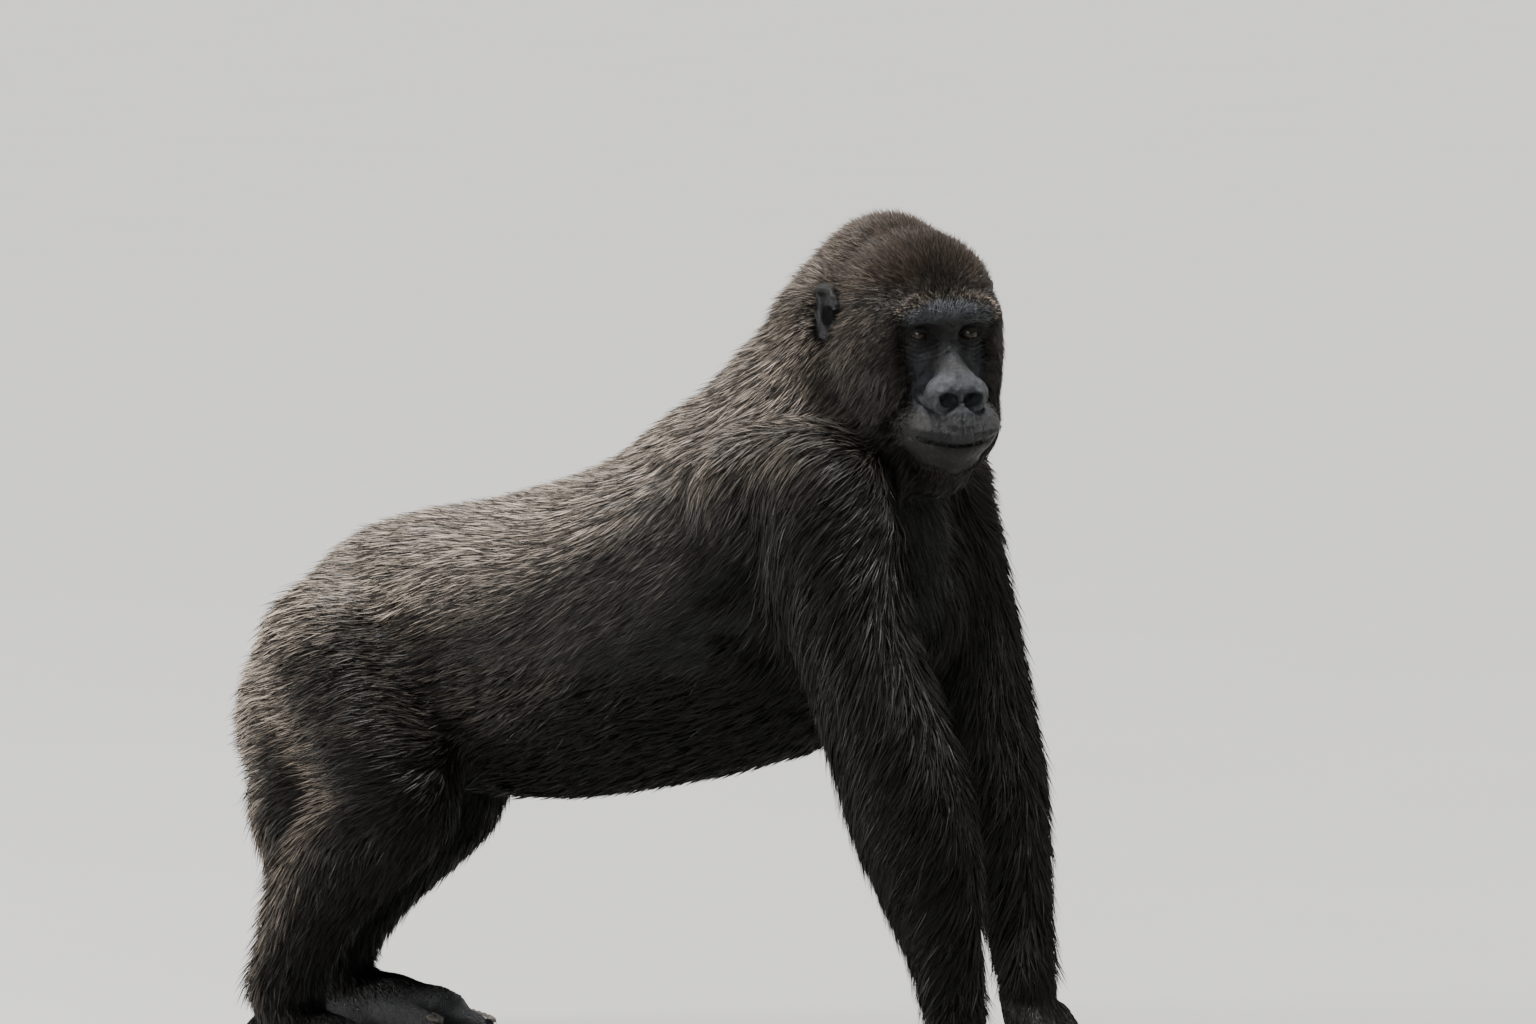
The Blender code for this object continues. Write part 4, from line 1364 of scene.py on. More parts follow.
# --- the coat ---
@dataclass(frozen=True)
class Markings:
    """Where the coat and the skin beneath it change colour, with painted sheen and painted rim
    light among them.
    """

    def grizzle_and_sheen(self, shape: BodyShape, points: np.ndarray) -> np.ndarray:
        """Strength of the brown-grey frosting, with painted sheen on the top of the back and a
        painted rim light on rear-facing rump and thighs, from 0 to 1.

        Args:
            shape: The body.
            points: World points.

        Returns:
            Strengths, (N,).
        """
        value = shape.quality("grizzle_and_sheen", points)
        patches = 0.016 * ripples(points, 0.10, 5)
        # The saddle below the line of the back is partly the coat's brown-grey and partly painted
        # sheen where overhead light falls on the back.
        reach = np.interp(points[:, 1], (-0.30, -0.10, 0.12), (0.300, 0.180, 0.165))
        below = shape.below_spine(points) + patches
        saddle = 1.0 - smooth_step(-0.110, 0.0, below - reach)
        saddle *= 1.0 - 0.14 * bell(points[:, 1], -0.20, 0.10)
        # Painted rim light: surfaces of rump and thighs that face backwards are frosted as if lit
        # from behind.
        rim = shape.rear(points) * (0.55 + 0.45 * smooth_step(0.14, 0.30, points[:, 2]))
        flank = 0.10 * smooth_step(0.30, 0.24, below)
        ahead = smooth_step(-0.40, -0.31, points[:, 1] + patches)
        body = value * ahead * np.maximum(np.maximum(saddle, rim), flank)
        local = shape.head.inward(points)
        share = shape.quality("head_share", points)
        # Pale hair along the brow, partly the hair's own colour and partly a painted highlight
        # where light catches the brow.
        edge = bell(inside_face(local), 0.002, 0.0055) * smooth_step(0.010, 0.022, local[:, 2])
        edge *= smooth_step(-0.05, -0.02, local[:, 1])
        temple = smooth_step(0.055, 0.085, np.abs(local[:, 0]))
        behind = smooth_step(-0.10, -0.19, local[:, 1])
        behind *= 0.35 + 0.65 * smooth_step(0.03, -0.04, local[:, 2])
        temple *= smooth_step(-0.06, -0.01, local[:, 2])
        on_head = np.maximum(0.66 * edge, 0.07 + 0.22 * temple + 0.70 * behind)
        return np.clip(body * (1.0 - share) + on_head * share, 0.0, 1.0)

    def crown(self, shape: BodyShape, points: np.ndarray) -> np.ndarray:
        """Strength of the rust brown on top of the head, from 0 to 1.

        Args:
            shape: The body.
            points: World points.

        Returns:
            Strengths, (N,).
        """
        local = shape.head.inward(points)
        share = shape.quality("head_share", points)
        high = smooth_step(0.026, 0.070, local[:, 2])
        behind = smooth_step(-0.27, -0.16, local[:, 1])
        patches = 0.85 + 0.2 * ripples(points, 0.05, 7)
        dark = bell(local[:, 0], 0.0, 0.030) * bell(local[:, 2], 0.052, 0.016)
        dark *= smooth_step(-0.09, -0.05, local[:, 1])
        return np.clip(share * high * behind * patches * (1.0 - 0.75 * dark), 0.0, 1.0)

    def ear(self, shape: BodyShape, points: np.ndarray) -> np.ndarray:
        """Share of each place that belongs to an ear, from 0 to 1.

        Args:
            shape: The body.
            points: World points.

        Returns:
            Shares, (N,).
        """
        local = shape.head.inward(points)
        mirrored = np.stack([np.abs(local[:, 0]), local[:, 1], local[:, 2]], axis=1)
        reach = np.array((0.017, 0.021, shape.face.ear_half_height + 0.003))
        gap = np.linalg.norm((mirrored - shape.face.ear_centre) / reach, axis=1)
        return smooth_step(1.12, 0.90, gap)

    def bare(self, shape: BodyShape, points: np.ndarray) -> np.ndarray:
        """Share of bare skin on face, ears, hands and feet, from 0 to 1.

        Args:
            shape: The body.
            points: World points.

        Returns:
            Shares, (N,).
        """
        local = shape.head.inward(points)
        share = shape.quality("head_share", points)
        face = np.maximum(bare_face(local), self.ear(shape, points)) * smooth_step(0.3, 0.7, share)
        digits = shape.quality("bare", points)
        low = smooth_step(0.080, 0.050, points[:, 2] + 0.10 * (points[:, 1] > 0.1)
                          * (points[:, 1] - 0.30))
        return np.clip(np.maximum(face, digits * low), 0.0, 1.0)

    def slate_and_sheen(self, shape: BodyShape, points: np.ndarray) -> np.ndarray:
        """Strength of the slate-grey skin tone and painted sheen on brow, nose, upper lip and under
        the eyes, from 0 to 1.

        Args:
            shape: The body.
            points: World points.

        Returns:
            Strengths, (N,).
        """
        local = shape.head.inward(points)
        across = np.abs(local[:, 0])
        # Painted highlight: the top of the brow ridge is lightened strongly where overhead light
        # falls on it.
        brow = bell(local[:, 2] + 3.0 * across ** 2, 0.036, 0.012)
        brow *= smooth_step(0.075, 0.05, across)
        bridge = bell(across, 0.0, 0.011) * smooth_step(0.004, -0.020, local[:, 2])
        bridge *= smooth_step(-0.062, -0.050, local[:, 2])
        nose = bell(across, 0.0, 0.044) * smooth_step(-0.036, -0.050, local[:, 2])
        nose *= smooth_step(-0.124, -0.112, local[:, 2])
        nose *= 1.0 - 0.5 * bell(across, 0.0, 0.011) * bell(local[:, 2], -0.060, 0.014)
        nose *= 1.0 - 0.66 * smooth_step(-0.084, -0.094, local[:, 2])
        cheek = 0.50 * bell(across, 0.034, 0.017) * bell(local[:, 2], -0.032, 0.022)
        face = np.clip(2.8 * brow + 0.5 * bridge + 1.0 * nose + cheek, 0.0, 1.5)
        face *= smooth_step(-0.06, -0.03, local[:, 1]) * shape.quality("head_share", points)
        limbs = 0.35 * smooth_step(0.12, 0.10, points[:, 2])
        ear = 0.22 * self.ear(shape, points)
        return np.clip(np.maximum(np.maximum(face, ear), limbs), 0.0, 1.5)

    def clad(self, shape: BodyShape, points: np.ndarray) -> np.ndarray:
        """Share of the coat's full thickness, which runs on a little into the bare skin.

        Args:
            shape: The body.
            points: World points.

        Returns:
            Shares, (N,).
        """
        local = shape.head.inward(points)
        share = shape.quality("head_share", points)
        front = smooth_step(-0.062, -0.040, local[:, 1])
        face = smooth_step(-0.004, 0.012, inside_face(local)) * front
        brow = bell(local[:, 2] + 3.0 * local[:, 0] ** 2, 0.034, 0.014)
        face = np.minimum(face, 1.0 - 0.22 * brow)
        face = np.maximum(face, self.ear(shape, points)) * smooth_step(0.3, 0.7, share)
        digits = shape.quality("bare", points)
        low = smooth_step(0.075, 0.040, points[:, 2] + 0.10 * (points[:, 1] > 0.1)
                          * (points[:, 1] - 0.30))
        return np.clip(1.0 - np.maximum(face, digits * low), 0.0, 1.0)


MARKINGS = Markings()


@dataclass(frozen=True)
class TuftPlan:
    """How the tufts of one coat piece are made.

    Attributes:
        name: Name of the piece.
        slot: Material slot of the record.
        per_square_cm: Tufts on a square centimetre.
        width: Widest place of a tuft.
        segments: Straight lengths from root to tip.
        clump: Spacing of the locks.
        gather: How far tips draw together within a lock.
        stray: Random turn of a tuft about its lie, in radians.
        loft: How far tips reach towards the outside of the coat.
    """

    name: str
    slot: str
    per_square_cm: float
    width: float
    segments: int
    clump: float
    gather: float
    stray: float
    loft: float


class Tufts(Enum):
    """Every coat piece."""

    crown = TuftPlan("coat_crown", "fur_crown", 92.0, 0.00074, 2, 0.0045, 0.10, 0.36, 1.70)
    cheeks = TuftPlan("coat_cheeks", "fur_limbs", 86.0, 0.00080, 2, 0.0060, 0.22, 0.18, 1.25)
    nape = TuftPlan("coat_nape", "fur_back", 40.0, 0.00102, 2, 0.0075, 0.30, 0.15, 1.20)
    back = TuftPlan("coat_back", "fur_back", 41.0, 0.00105, 2, 0.0080, 0.25, 0.14, 1.15)
    flank_right = TuftPlan("coat_flank_right", "fur_back", 30.0, 0.00112, 2, 0.0090, 0.3, 0.14, 1.1)
    flank_left = TuftPlan("coat_flank_left", "fur_back", 25.0, 0.00122, 2, 0.0090, 0.3, 0.14, 1.1)
    belly = TuftPlan("coat_belly", "fur_limbs", 9.0, 0.0024, 2, 0.013, 0.35, 0.18, 0.9)
    upper_arm_right = TuftPlan("coat_upper_arm_right", "fur_limbs", 18.5, 0.0014, 3, 0.013, 0.45,
                               0.15, 1.1)
    upper_arm_left = TuftPlan("coat_upper_arm_left", "fur_limbs", 21.0, 0.0014, 2, 0.013, 0.45,
                              0.15, 1.1)
    forearms = TuftPlan("coat_forearms", "fur_limbs", 20.0, 0.0014, 2, 0.013, 0.45, 0.17, 1.0)
    thighs = TuftPlan("coat_thighs", "fur_limbs", 22.0, 0.0014, 2, 0.011, 0.30, 0.15, 1.15)
    shanks = TuftPlan("coat_shanks", "fur_limbs", 19.0, 0.0015, 2, 0.011, 0.30, 0.15, 1.15)
    hands_feet = TuftPlan("coat_hands_feet", "fur_limbs", 24.0, 0.0011, 2, 0.006, 0.15, 0.25, 1.0)


@dataclass
class Coat:
    """All the tufts, laid over the skin."""

    skin: SkinMesh
    seed: int = 23
    patch: float = 0.003
    most_triangles: int = 195000
    pieces: list = field(init=False, default_factory=list)

    def build(self) -> list[bpy.types.Object]:
        """Root, comb and draw the tufts.

        Returns:
            The coat pieces.
        """
        shape = self.skin.shape
        corners, triangles, charts = self.skin_arrays()
        middles = corners[triangles].mean(axis=1)
        sides = np.cross(corners[triangles[:, 1]] - corners[triangles[:, 0]],
                         corners[triangles[:, 2]] - corners[triangles[:, 0]])
        area = np.linalg.norm(sides, axis=1) / 2.0
        kinds = self.kind_of(middles)
        clad = MARKINGS.clad(shape, middles)
        for number, kind in enumerate(Tufts):
            plan = kind.value
            wanted = (kinds == number) * area * plan.per_square_cm * 1e4
            wanted = wanted * clad
            piece = self.draw(plan, corners, triangles, charts, wanted, number)
            self.pieces.append(piece)
            log.info("%s: %d faces", plan.name, len(piece.data.polygons))
        return self.pieces

    def skin_arrays(self) -> tuple[np.ndarray, np.ndarray, np.ndarray]:
        """Read the skin's vertices, triangles and their places on the unwrap.

        Returns:
            Vertices, triangles and unwrap places of their corners.
        """
        mesh = self.skin.piece.data
        corners, triangles = mesh_arrays(self.skin.piece)
        loops = np.zeros(len(mesh.loop_triangles) * 3, np.int64)
        mesh.loop_triangles.foreach_get("loops", loops)
        chart = np.zeros(len(mesh.loops) * 2)
        mesh.uv_layers["OFBake"].data.foreach_get("uv", chart)
        return corners, triangles, chart.reshape(-1, 2)[loops.reshape(-1, 3)]

    def kind_of(self, points: np.ndarray) -> np.ndarray:
        """Which coat piece clads each place.

        Args:
            points: World points on the skin.

        Returns:
            Indices into Tufts.
        """
        kinds = list(Tufts)
        regions = list(Region)
        owner = self.skin.shape.region_at(points)
        local = self.skin.shape.head.inward(points)
        result = np.full(len(points), kinds.index(Tufts.back))
        trunk = owner == regions.index(Region.trunk)
        underside = points[:, 2] < 0.50 + 0.06 * (points[:, 1] < -0.2)
        side = np.abs(points[:, 0]) > 0.105
        result[trunk & side & (points[:, 0] < 0.0)] = kinds.index(Tufts.flank_right)
        result[trunk & side & (points[:, 0] >= 0.0)] = kinds.index(Tufts.flank_left)
        result[trunk & underside] = kinds.index(Tufts.belly)
        result[owner == regions.index(Region.neck)] = kinds.index(Tufts.nape)
        on_head = owner == regions.index(Region.head)
        high = local[:, 2] > 0.030 - 0.10 * np.clip(-local[:, 1] - 0.10, 0.0, 0.3)
        result[on_head] = kinds.index(Tufts.cheeks)
        result[on_head & high] = kinds.index(Tufts.crown)
        for kind, region in ((Tufts.forearms, Region.forearm), (Tufts.thighs, Region.thigh),
                             (Tufts.shanks, Region.shank), (Tufts.hands_feet, Region.hand),
                             (Tufts.hands_feet, Region.foot)):
            result[owner == regions.index(region)] = kinds.index(kind)
        arm = owner == regions.index(Region.upper_arm)
        result[arm & (points[:, 0] < 0.0)] = kinds.index(Tufts.upper_arm_right)
        result[arm & (points[:, 0] >= 0.0)] = kinds.index(Tufts.upper_arm_left)
        return result

    def draw(self, plan: TuftPlan, corners: np.ndarray, triangles: np.ndarray,
             charts: np.ndarray, wanted: np.ndarray, number: int) -> bpy.types.Object:
        """Make one coat piece.

        Args:
            plan: How its tufts are made.
            corners: The skin's vertices.
            triangles: The skin's triangles.
            charts: Unwrap places of the triangles' corners.
            wanted: Expected number of tufts on each triangle.
            number: Number of the piece, for its seed.

        Returns:
            The piece.
        """
        random = np.random.default_rng(self.seed + number)
        running = np.cumsum(wanted)
        count = min(int(running[-1]), self.most_triangles // (2 * plan.segments - 1))
        spots = (np.arange(count) + random.random(count)) / count * running[-1]
        chosen = np.searchsorted(running, spots).clip(0, len(triangles) - 1)
        first, second = random.random(count), random.random(count)
        fold = first + second > 1.0
        first[fold], second[fold] = 1.0 - first[fold], 1.0 - second[fold]
        shares = np.stack([1.0 - first - second, first, second], axis=1)
        roots = (corners[triangles[chosen]] * shares[..., None]).sum(axis=1)
        places = (charts[chosen] * shares[..., None]).sum(axis=1)
        path, across = self.comb(plan, roots, random)
        return self.weave(plan, roots, places, path, across, random)

    def tuft_length(self, points: np.ndarray) -> np.ndarray:
        """Length of a tuft at each root.

        Args:
            points: World points.

        Returns:
            Lengths, (N,).
        """
        shape = self.skin.shape
        local = shape.head.inward(points)
        share = shape.quality("head_share", points)
        length = shape.quality("length", points)
        length = length * (1.0 - share) + HEAD_COAT.length_at(local) * share
        mirrored = np.stack([np.abs(local[:, 0]), local[:, 1], local[:, 2]], axis=1)
        beside = np.linalg.norm(mirrored - shape.face.ear_centre, axis=1)
        length = length * (0.35 + 0.65 * smooth_step(0.026, 0.050, beside))
        return length * (1.0 - 0.70 * MARKINGS.bare(shape, points))

    def comb(self, plan: TuftPlan, roots: np.ndarray,
             random: np.random.Generator) -> tuple[np.ndarray, np.ndarray]:
        """Lay every tuft along the coat.

        Args:
            plan: How the tufts are made.
            roots: Their roots on the skin.
            random: Source of the scatter.

        Returns:
            Points along each tuft (segments + 1, N, 3) and the sideways vector at each.
        """
        shape = self.skin.shape
        count = len(roots)
        lock = self.lock_of(roots, plan.clump)
        turn = (lock["turn"] - 0.5) * 0.20 + random.normal(0.0, plan.stray, count)
        turn += 0.14 * ripples(roots, 0.12, 31) + 0.09 * ripples(roots, 0.045, 37)
        guard = random.random(count) < 0.14
        length = self.tuft_length(roots) * (0.66 + 0.34 * random.random(count)
                                            + 0.22 * lock["shade"] + 0.30 * guard)
        top = np.maximum(shape.depth(roots), 0.0010) * plan.loft
        top = top * (0.42 + 0.55 * random.random(count) ** 1.3 + 0.12 * (lock["lift"] - 0.4)
                     + 0.30 * guard) * (1.0 + 0.75 * shape.rear(roots))
        points = [roots]
        normal = shape.outward(roots)
        here = roots
        sideways = []
        pull = lock["centre"] - roots
        for step in range(plan.segments):
            lie = shape.quality("lie", here)
            lie = unit(lie - normal * (lie * normal).sum(axis=1)[:, None])
            side = np.cross(lie, normal)
            heading = unit(lie * np.cos(turn)[:, None] + side * np.sin(turn)[:, None])
            if step == 0:
                sideways.append(np.cross(heading, normal))
            share = (step + 1) / plan.segments
            ahead = here + heading * (length / plan.segments)[:, None]
            drawn = pull - heading * (pull * heading).sum(axis=1)[:, None]
            ahead = ahead + drawn * plan.gather / plan.segments
            normal = shape.outward(ahead)
            height = top * share ** 0.75
            gap = shape.above_skin(ahead)
            ahead = ahead + normal * (height - gap)[:, None]
            sideways.append(np.cross(unit(ahead - here), normal))
            points.append(ahead)
            here = ahead
            turn = turn * 0.8
        across = unit(np.array(sideways))
        roll = random.normal(0.0, 0.65, count)
        path = np.array(points)
        along = unit(path[-1] - path[0])
        upward = np.cross(across, along)
        across = across * np.cos(roll)[None, :, None] + upward * np.sin(roll)[None, :, None]
        return path, across

    @staticmethod
    def lock_of(roots: np.ndarray, spacing: float) -> dict[str, np.ndarray]:
        """Gather roots into locks.

        Args:
            roots: Tuft roots.
            spacing: Distance between locks.

        Returns:
            Each root's lock: its centre and three random values.
        """
        warp = np.stack([ripples(roots, spacing * 3.0, seed) for seed in (41, 43, 47)], axis=1)
        cell = np.floor((roots + warp * spacing * 0.45) / spacing).astype(np.int64)
        centre = (cell + 0.5) * spacing - warp * spacing * 0.45
        mixed = (cell * np.array((73856093, 19349663, 83492791))).sum(axis=1)

        def scatter(seed: int) -> np.ndarray:
            """One random value from 0 to 1 for each lock.

            Args:
                seed: Tells one use from another.

            Returns:
                Values, (N,).
            """
            value = (mixed + seed * 2654435761) & 0xFFFFFFFF
            value = ((value ^ (value >> 15)) * 2246822519) & 0xFFFFFFFF
            value = ((value ^ (value >> 13)) * 3266489917) & 0xFFFFFFFF
            return ((value ^ (value >> 16)) & 0xFFFF) / 65535.0

        return {"centre": centre, "turn": scatter(1), "shade": scatter(2), "lift": scatter(3)}

    def weave(self, plan: TuftPlan, roots: np.ndarray, places: np.ndarray, path: np.ndarray,
              across: np.ndarray, random: np.random.Generator) -> bpy.types.Object:
        """Turn combed tufts into one joined mesh.

        Args:
            plan: How the tufts are made.
            roots: Their roots.
            places: Their roots' places on the unwrap.
            path: Points along each tuft.
            across: Sideways vectors at each of those points.
            random: Source of the scatter.

        Returns:
            The coat piece.
        """
        shape = self.skin.shape
        count = len(roots)
        segments = plan.segments
        width = plan.width * random.uniform(0.65, 1.30, count)
        profile = [0.75, 1.0, 0.72] if segments == 3 else [0.80, 1.0]
        rows = []
        charts = []
        runs = []
        for step in range(segments):
            half = (across[step] * (width * profile[step] / 2.0)[:, None])
            rows += [path[step] - half, path[step] + half]
            rise = (step / segments - 0.5) * self.patch
            charts += [places + np.array((-self.patch / 2.0, rise)),
                       places + np.array((self.patch / 2.0, rise))]
            runs += [step / segments] * 2
        rows.append(path[segments])
        charts.append(places + np.array((0.0, self.patch / 2.0)))
        runs.append(1.0)
        per_tuft = 2 * segments + 1
        points = np.stack(rows, axis=1).reshape(-1, 3)
        start = (np.arange(count) * per_tuft)[:, None]
        loops = []
        for step in range(segments - 1):
            loops += [2 * step, 2 * step + 1, 2 * step + 3, 2 * step + 2]
        last = 2 * (segments - 1)
        loops += [last, last + 1, last + 2]
        indices = (start + np.array(loops)).ravel()
        sizes = np.tile(np.array([4] * (segments - 1) + [3]), count)
        starts = np.concatenate([[0], np.cumsum(sizes)[:-1]])
        mesh = bpy.data.meshes.new(plan.name)
        mesh.vertices.add(len(points))
        mesh.vertices.foreach_set("co", points.ravel())
        mesh.loops.add(len(indices))
        mesh.loops.foreach_set("vertex_index", indices)
        mesh.polygons.add(len(sizes))
        mesh.polygons.foreach_set("loop_start", starts)
        mesh.update(calc_edges=True)
        chart = mesh.uv_layers.new(name="OFBake")
        spread = np.stack(charts, axis=1).reshape(-1, 2)[indices]
        chart.data.foreach_set("uv", np.clip(spread, 0.0, 1.0).ravel())
        lock = self.lock_of(roots, plan.clump)
        shade = 0.22 * lock["shade"] + 0.78 * random.random(count)
        attributes = {
            "shade": np.repeat(shade, per_tuft),
            "along": np.tile(np.array(runs), count),
            "grizzle_and_sheen": np.repeat(MARKINGS.grizzle_and_sheen(shape, roots), per_tuft),
            "crown": np.repeat(MARKINGS.crown(shape, roots), per_tuft),
        }
        for name, values in attributes.items():
            layer = mesh.attributes.new(name, "FLOAT", "POINT")
            layer.data.foreach_set("value", values.astype(np.float32))
        mesh.shade_smooth()
        piece = bpy.data.objects.new(plan.name, mesh)
        bpy.context.scene.collection.objects.link(piece)
        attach(piece, BODY)
        return piece


# --- finishes ---
@dataclass
class Desk:
    """Places and joins the nodes of one tree."""

    tree: bpy.types.NodeTree
    column: int = 0

    def add(self, kind: str, **settings: object) -> bpy.types.Node:
        """Add a node.

        Args:
            kind: Blender's name for the node's type.
            **settings: Properties to set on it.

        Returns:
            The node.
        """
        node = self.tree.nodes.new(kind)
        for name, value in settings.items():
            setattr(node, name, value)
        node.location = (self.column * 190.0, 0.0)
        self.column += 1
        return node

    def link(self, source: bpy.types.NodeSocket, target: bpy.types.NodeSocket) -> None:
        """Join an output to an input."""
        self.tree.links.new(source, target)

    def feed(self, socket: bpy.types.NodeSocket, value: object) -> None:
        """Give an input a link or a plain value.

        Args:
            socket: Input to feed.
            value: A link or a plain value.
        """
        if isinstance(value, bpy.types.NodeSocket):
            self.link(value, socket)
        else:
            socket.default_value = value

    def math(self, operation: str, first: object, second: object = 0.0) -> bpy.types.NodeSocket:
        """Do arithmetic on two values.

        Args:
            operation: What is done.
            first: First value.
            second: Second value.

        Returns:
            The result.
        """
        node = self.add("ShaderNodeMath", operation=operation)
        self.feed(node.inputs[0], first)
        self.feed(node.inputs[1], second)
        return node.outputs[0]

    def span(self, value: object, low: float, high: float, start: float = 0.0,
             end: float = 1.0) -> bpy.types.NodeSocket:
        """Map a range of values smoothly to another.

        Args:
            value: What is mapped.
            low: Where the range starts.
            high: Where it ends.
            start: Result at low.
            end: Result at high.

        Returns:
            The result.
        """
        node = self.add("ShaderNodeMapRange", interpolation_type="SMOOTHSTEP")
        for socket, number in zip(node.inputs, (value, low, high, start, end)):
            self.feed(socket, number)
        return node.outputs[0]

    def blend(self, share: object, first: object, second: object,
              kind: str = "MIX") -> bpy.types.NodeSocket:
        """Mix two colours.

        Args:
            share: Share of the second.
            first: First value.
            second: Second value.
            kind: How they are mixed.

        Returns:
            The mixed colour.
        """
        node = self.add("ShaderNodeMix", data_type="RGBA", blend_type=kind)
        self.feed(node.inputs[0], share)
        self.feed(node.inputs[6], first)
        self.feed(node.inputs[7], second)
        return node.outputs[2]

    def noise(self, vector: object, scale: float, detail: float = 2.0,
              rough: float = 0.5) -> bpy.types.NodeSocket:
        """Soft noise from 0 to 1.

        Args:
            vector: Place to read it at, or None.
            scale: How fine it is.
            detail: How many layers it has.
            rough: Strength of the finer layers.

        Returns:
            The noise.
        """
        node = self.add("ShaderNodeTexNoise")
        if vector is not None:
            self.link(vector, node.inputs["Vector"])
        node.inputs["Scale"].default_value = scale
        node.inputs["Detail"].default_value = detail
        node.inputs["Roughness"].default_value = rough
        return node.outputs["Fac"]

    def mark(self, name: str) -> bpy.types.NodeSocket:
        """Read a named value of the mesh."""
        return self.add("ShaderNodeAttribute", attribute_name=name).outputs["Fac"]


def new_material(name: str) -> tuple[bpy.types.Material, Desk, bpy.types.ShaderNode]:
    """Start a material.

    Args:
        name: Its name.

    Returns:
        The material, a desk on its nodes, and its shader.
    """
    material = bpy.data.materials.new(name)
    material.use_nodes = True
    return material, Desk(material.node_tree), material.node_tree.nodes["Principled BSDF"]


def new_group(name: str, inputs: dict, outputs: dict) -> tuple[bpy.types.NodeTree, Desk]:
    """Start a shader node group.

    Args:
        name: Name of the group.
        inputs: Socket types and default values by name.
        outputs: Socket types by name.

    Returns:
        The tree and a desk to build it on.
    """
    tree = bpy.data.node_groups.new(name, "ShaderNodeTree")
    for label, (kind, value) in inputs.items():
        socket = tree.interface.new_socket(label, in_out="INPUT", socket_type=kind)
        socket.default_value = value
    for label, kind in outputs.items():
        tree.interface.new_socket(label, in_out="OUTPUT", socket_type=kind)
    return tree, Desk(tree)


COLOUR = "NodeSocketColor"
NUMBER = "NodeSocketFloat"


@dataclass(frozen=True)
class CoatColours:
    """Colours of the hair and of the skin under it, shared by coat and skin."""

    black: tuple = (0.0042, 0.0036, 0.0031, 1.0)
    # Brown-grey frost: partly the hair's own colour, partly painted sheen and painted rim light.
    frost_and_sheen_colour: tuple = (0.272, 0.226, 0.186, 1.0)
    rust: tuple = (0.027, 0.0180, 0.0125, 1.0)
    bare: tuple = (0.0120, 0.0112, 0.0107, 1.0)
    # Slate grey of the bare skin, also used as painted sheen on brow, nose and upper lip.
    slate_and_sheen: tuple = (0.0480, 0.0520, 0.0590, 1.0)

    def group(self) -> bpy.types.NodeTree:
        """The markings, once for every material.

        Returns:
            Group with Grizzle, Crown, Shade and Along in, and Color out; Grizzle carries painted
            sheen and painted rim light as well as the frosting.
        """
        found = bpy.data.node_groups.get("coat_markings")
        if found:
            return found
        inputs = {name: (NUMBER, value) for name, value in
                  (("Grizzle_and_sheen", 0.0), ("Crown", 0.0), ("Shade", 0.5), ("Along", 0.5))}
        tree, desk = new_group("coat_markings", inputs, {"Color": COLOUR})
        gate = desk.add("NodeGroupInput")
        out = desk.add("NodeGroupOutput")
        fair = desk.span(gate.outputs["Shade"], 0.30, 0.95, 0.06, 1.0)
        tips = desk.span(gate.outputs["Along"], 0.0, 0.9, 0.10, 1.0)
        # Frost grows lighter towards the tips, where the mark puts the hair's brown-grey and
        # painted sheen.
        frost_and_sheen_share = desk.math("MULTIPLY", desk.math("MULTIPLY", fair, tips), gate.outputs["Grizzle_and_sheen"])
        rusty = desk.math("MULTIPLY", gate.outputs["Crown"], desk.math("ADD", 0.25,
                          desk.math("MULTIPLY", tips, 0.75)))
        colour = desk.blend(rusty, self.black, self.rust)
        colour = desk.blend(frost_and_sheen_share, colour, self.frost_and_sheen_colour)
        bright = desk.span(gate.outputs["Shade"], 0.0, 1.0, 0.30, 1.90)
        tint = desk.add("ShaderNodeCombineColor")
        for socket in tint.inputs[:3]:
            desk.link(bright, socket)
        colour = desk.blend(1.0, colour, tint.outputs[0], "MULTIPLY")
        desk.link(colour, out.inputs["Color"])
        return tree


@dataclass(frozen=True)
class FurFinish:
    """Soft dark hair with a faint gloss."""

    name: str
    roughness: float = 0.50
    sheen: float = 0.0
    gloss: float = 0.30
    colours: CoatColours = CoatColours()

    def material(self) -> bpy.types.Material:
        """Build the material.

        Returns:
            The material.
        """
        material, desk, shader = new_material(self.name)
        marks = desk.add("ShaderNodeGroup", node_tree=self.colours.group())
        for label, name in (("Grizzle_and_sheen", "grizzle_and_sheen"), ("Crown", "crown"), ("Shade", "shade"),
                            ("Along", "along")):
            desk.link(desk.mark(name), marks.inputs[label])
        desk.link(marks.outputs["Color"], shader.inputs["Base Color"])
        rough = desk.span(desk.mark("shade"), 0.0, 1.0, self.roughness - 0.08,
                          self.roughness + 0.12)
        desk.link(rough, shader.inputs["Roughness"])
        shader.inputs["Sheen Weight"].default_value = self.sheen
        shader.inputs["Sheen Roughness"].default_value = 0.45
        shader.inputs["Specular IOR Level"].default_value = self.gloss
        return material


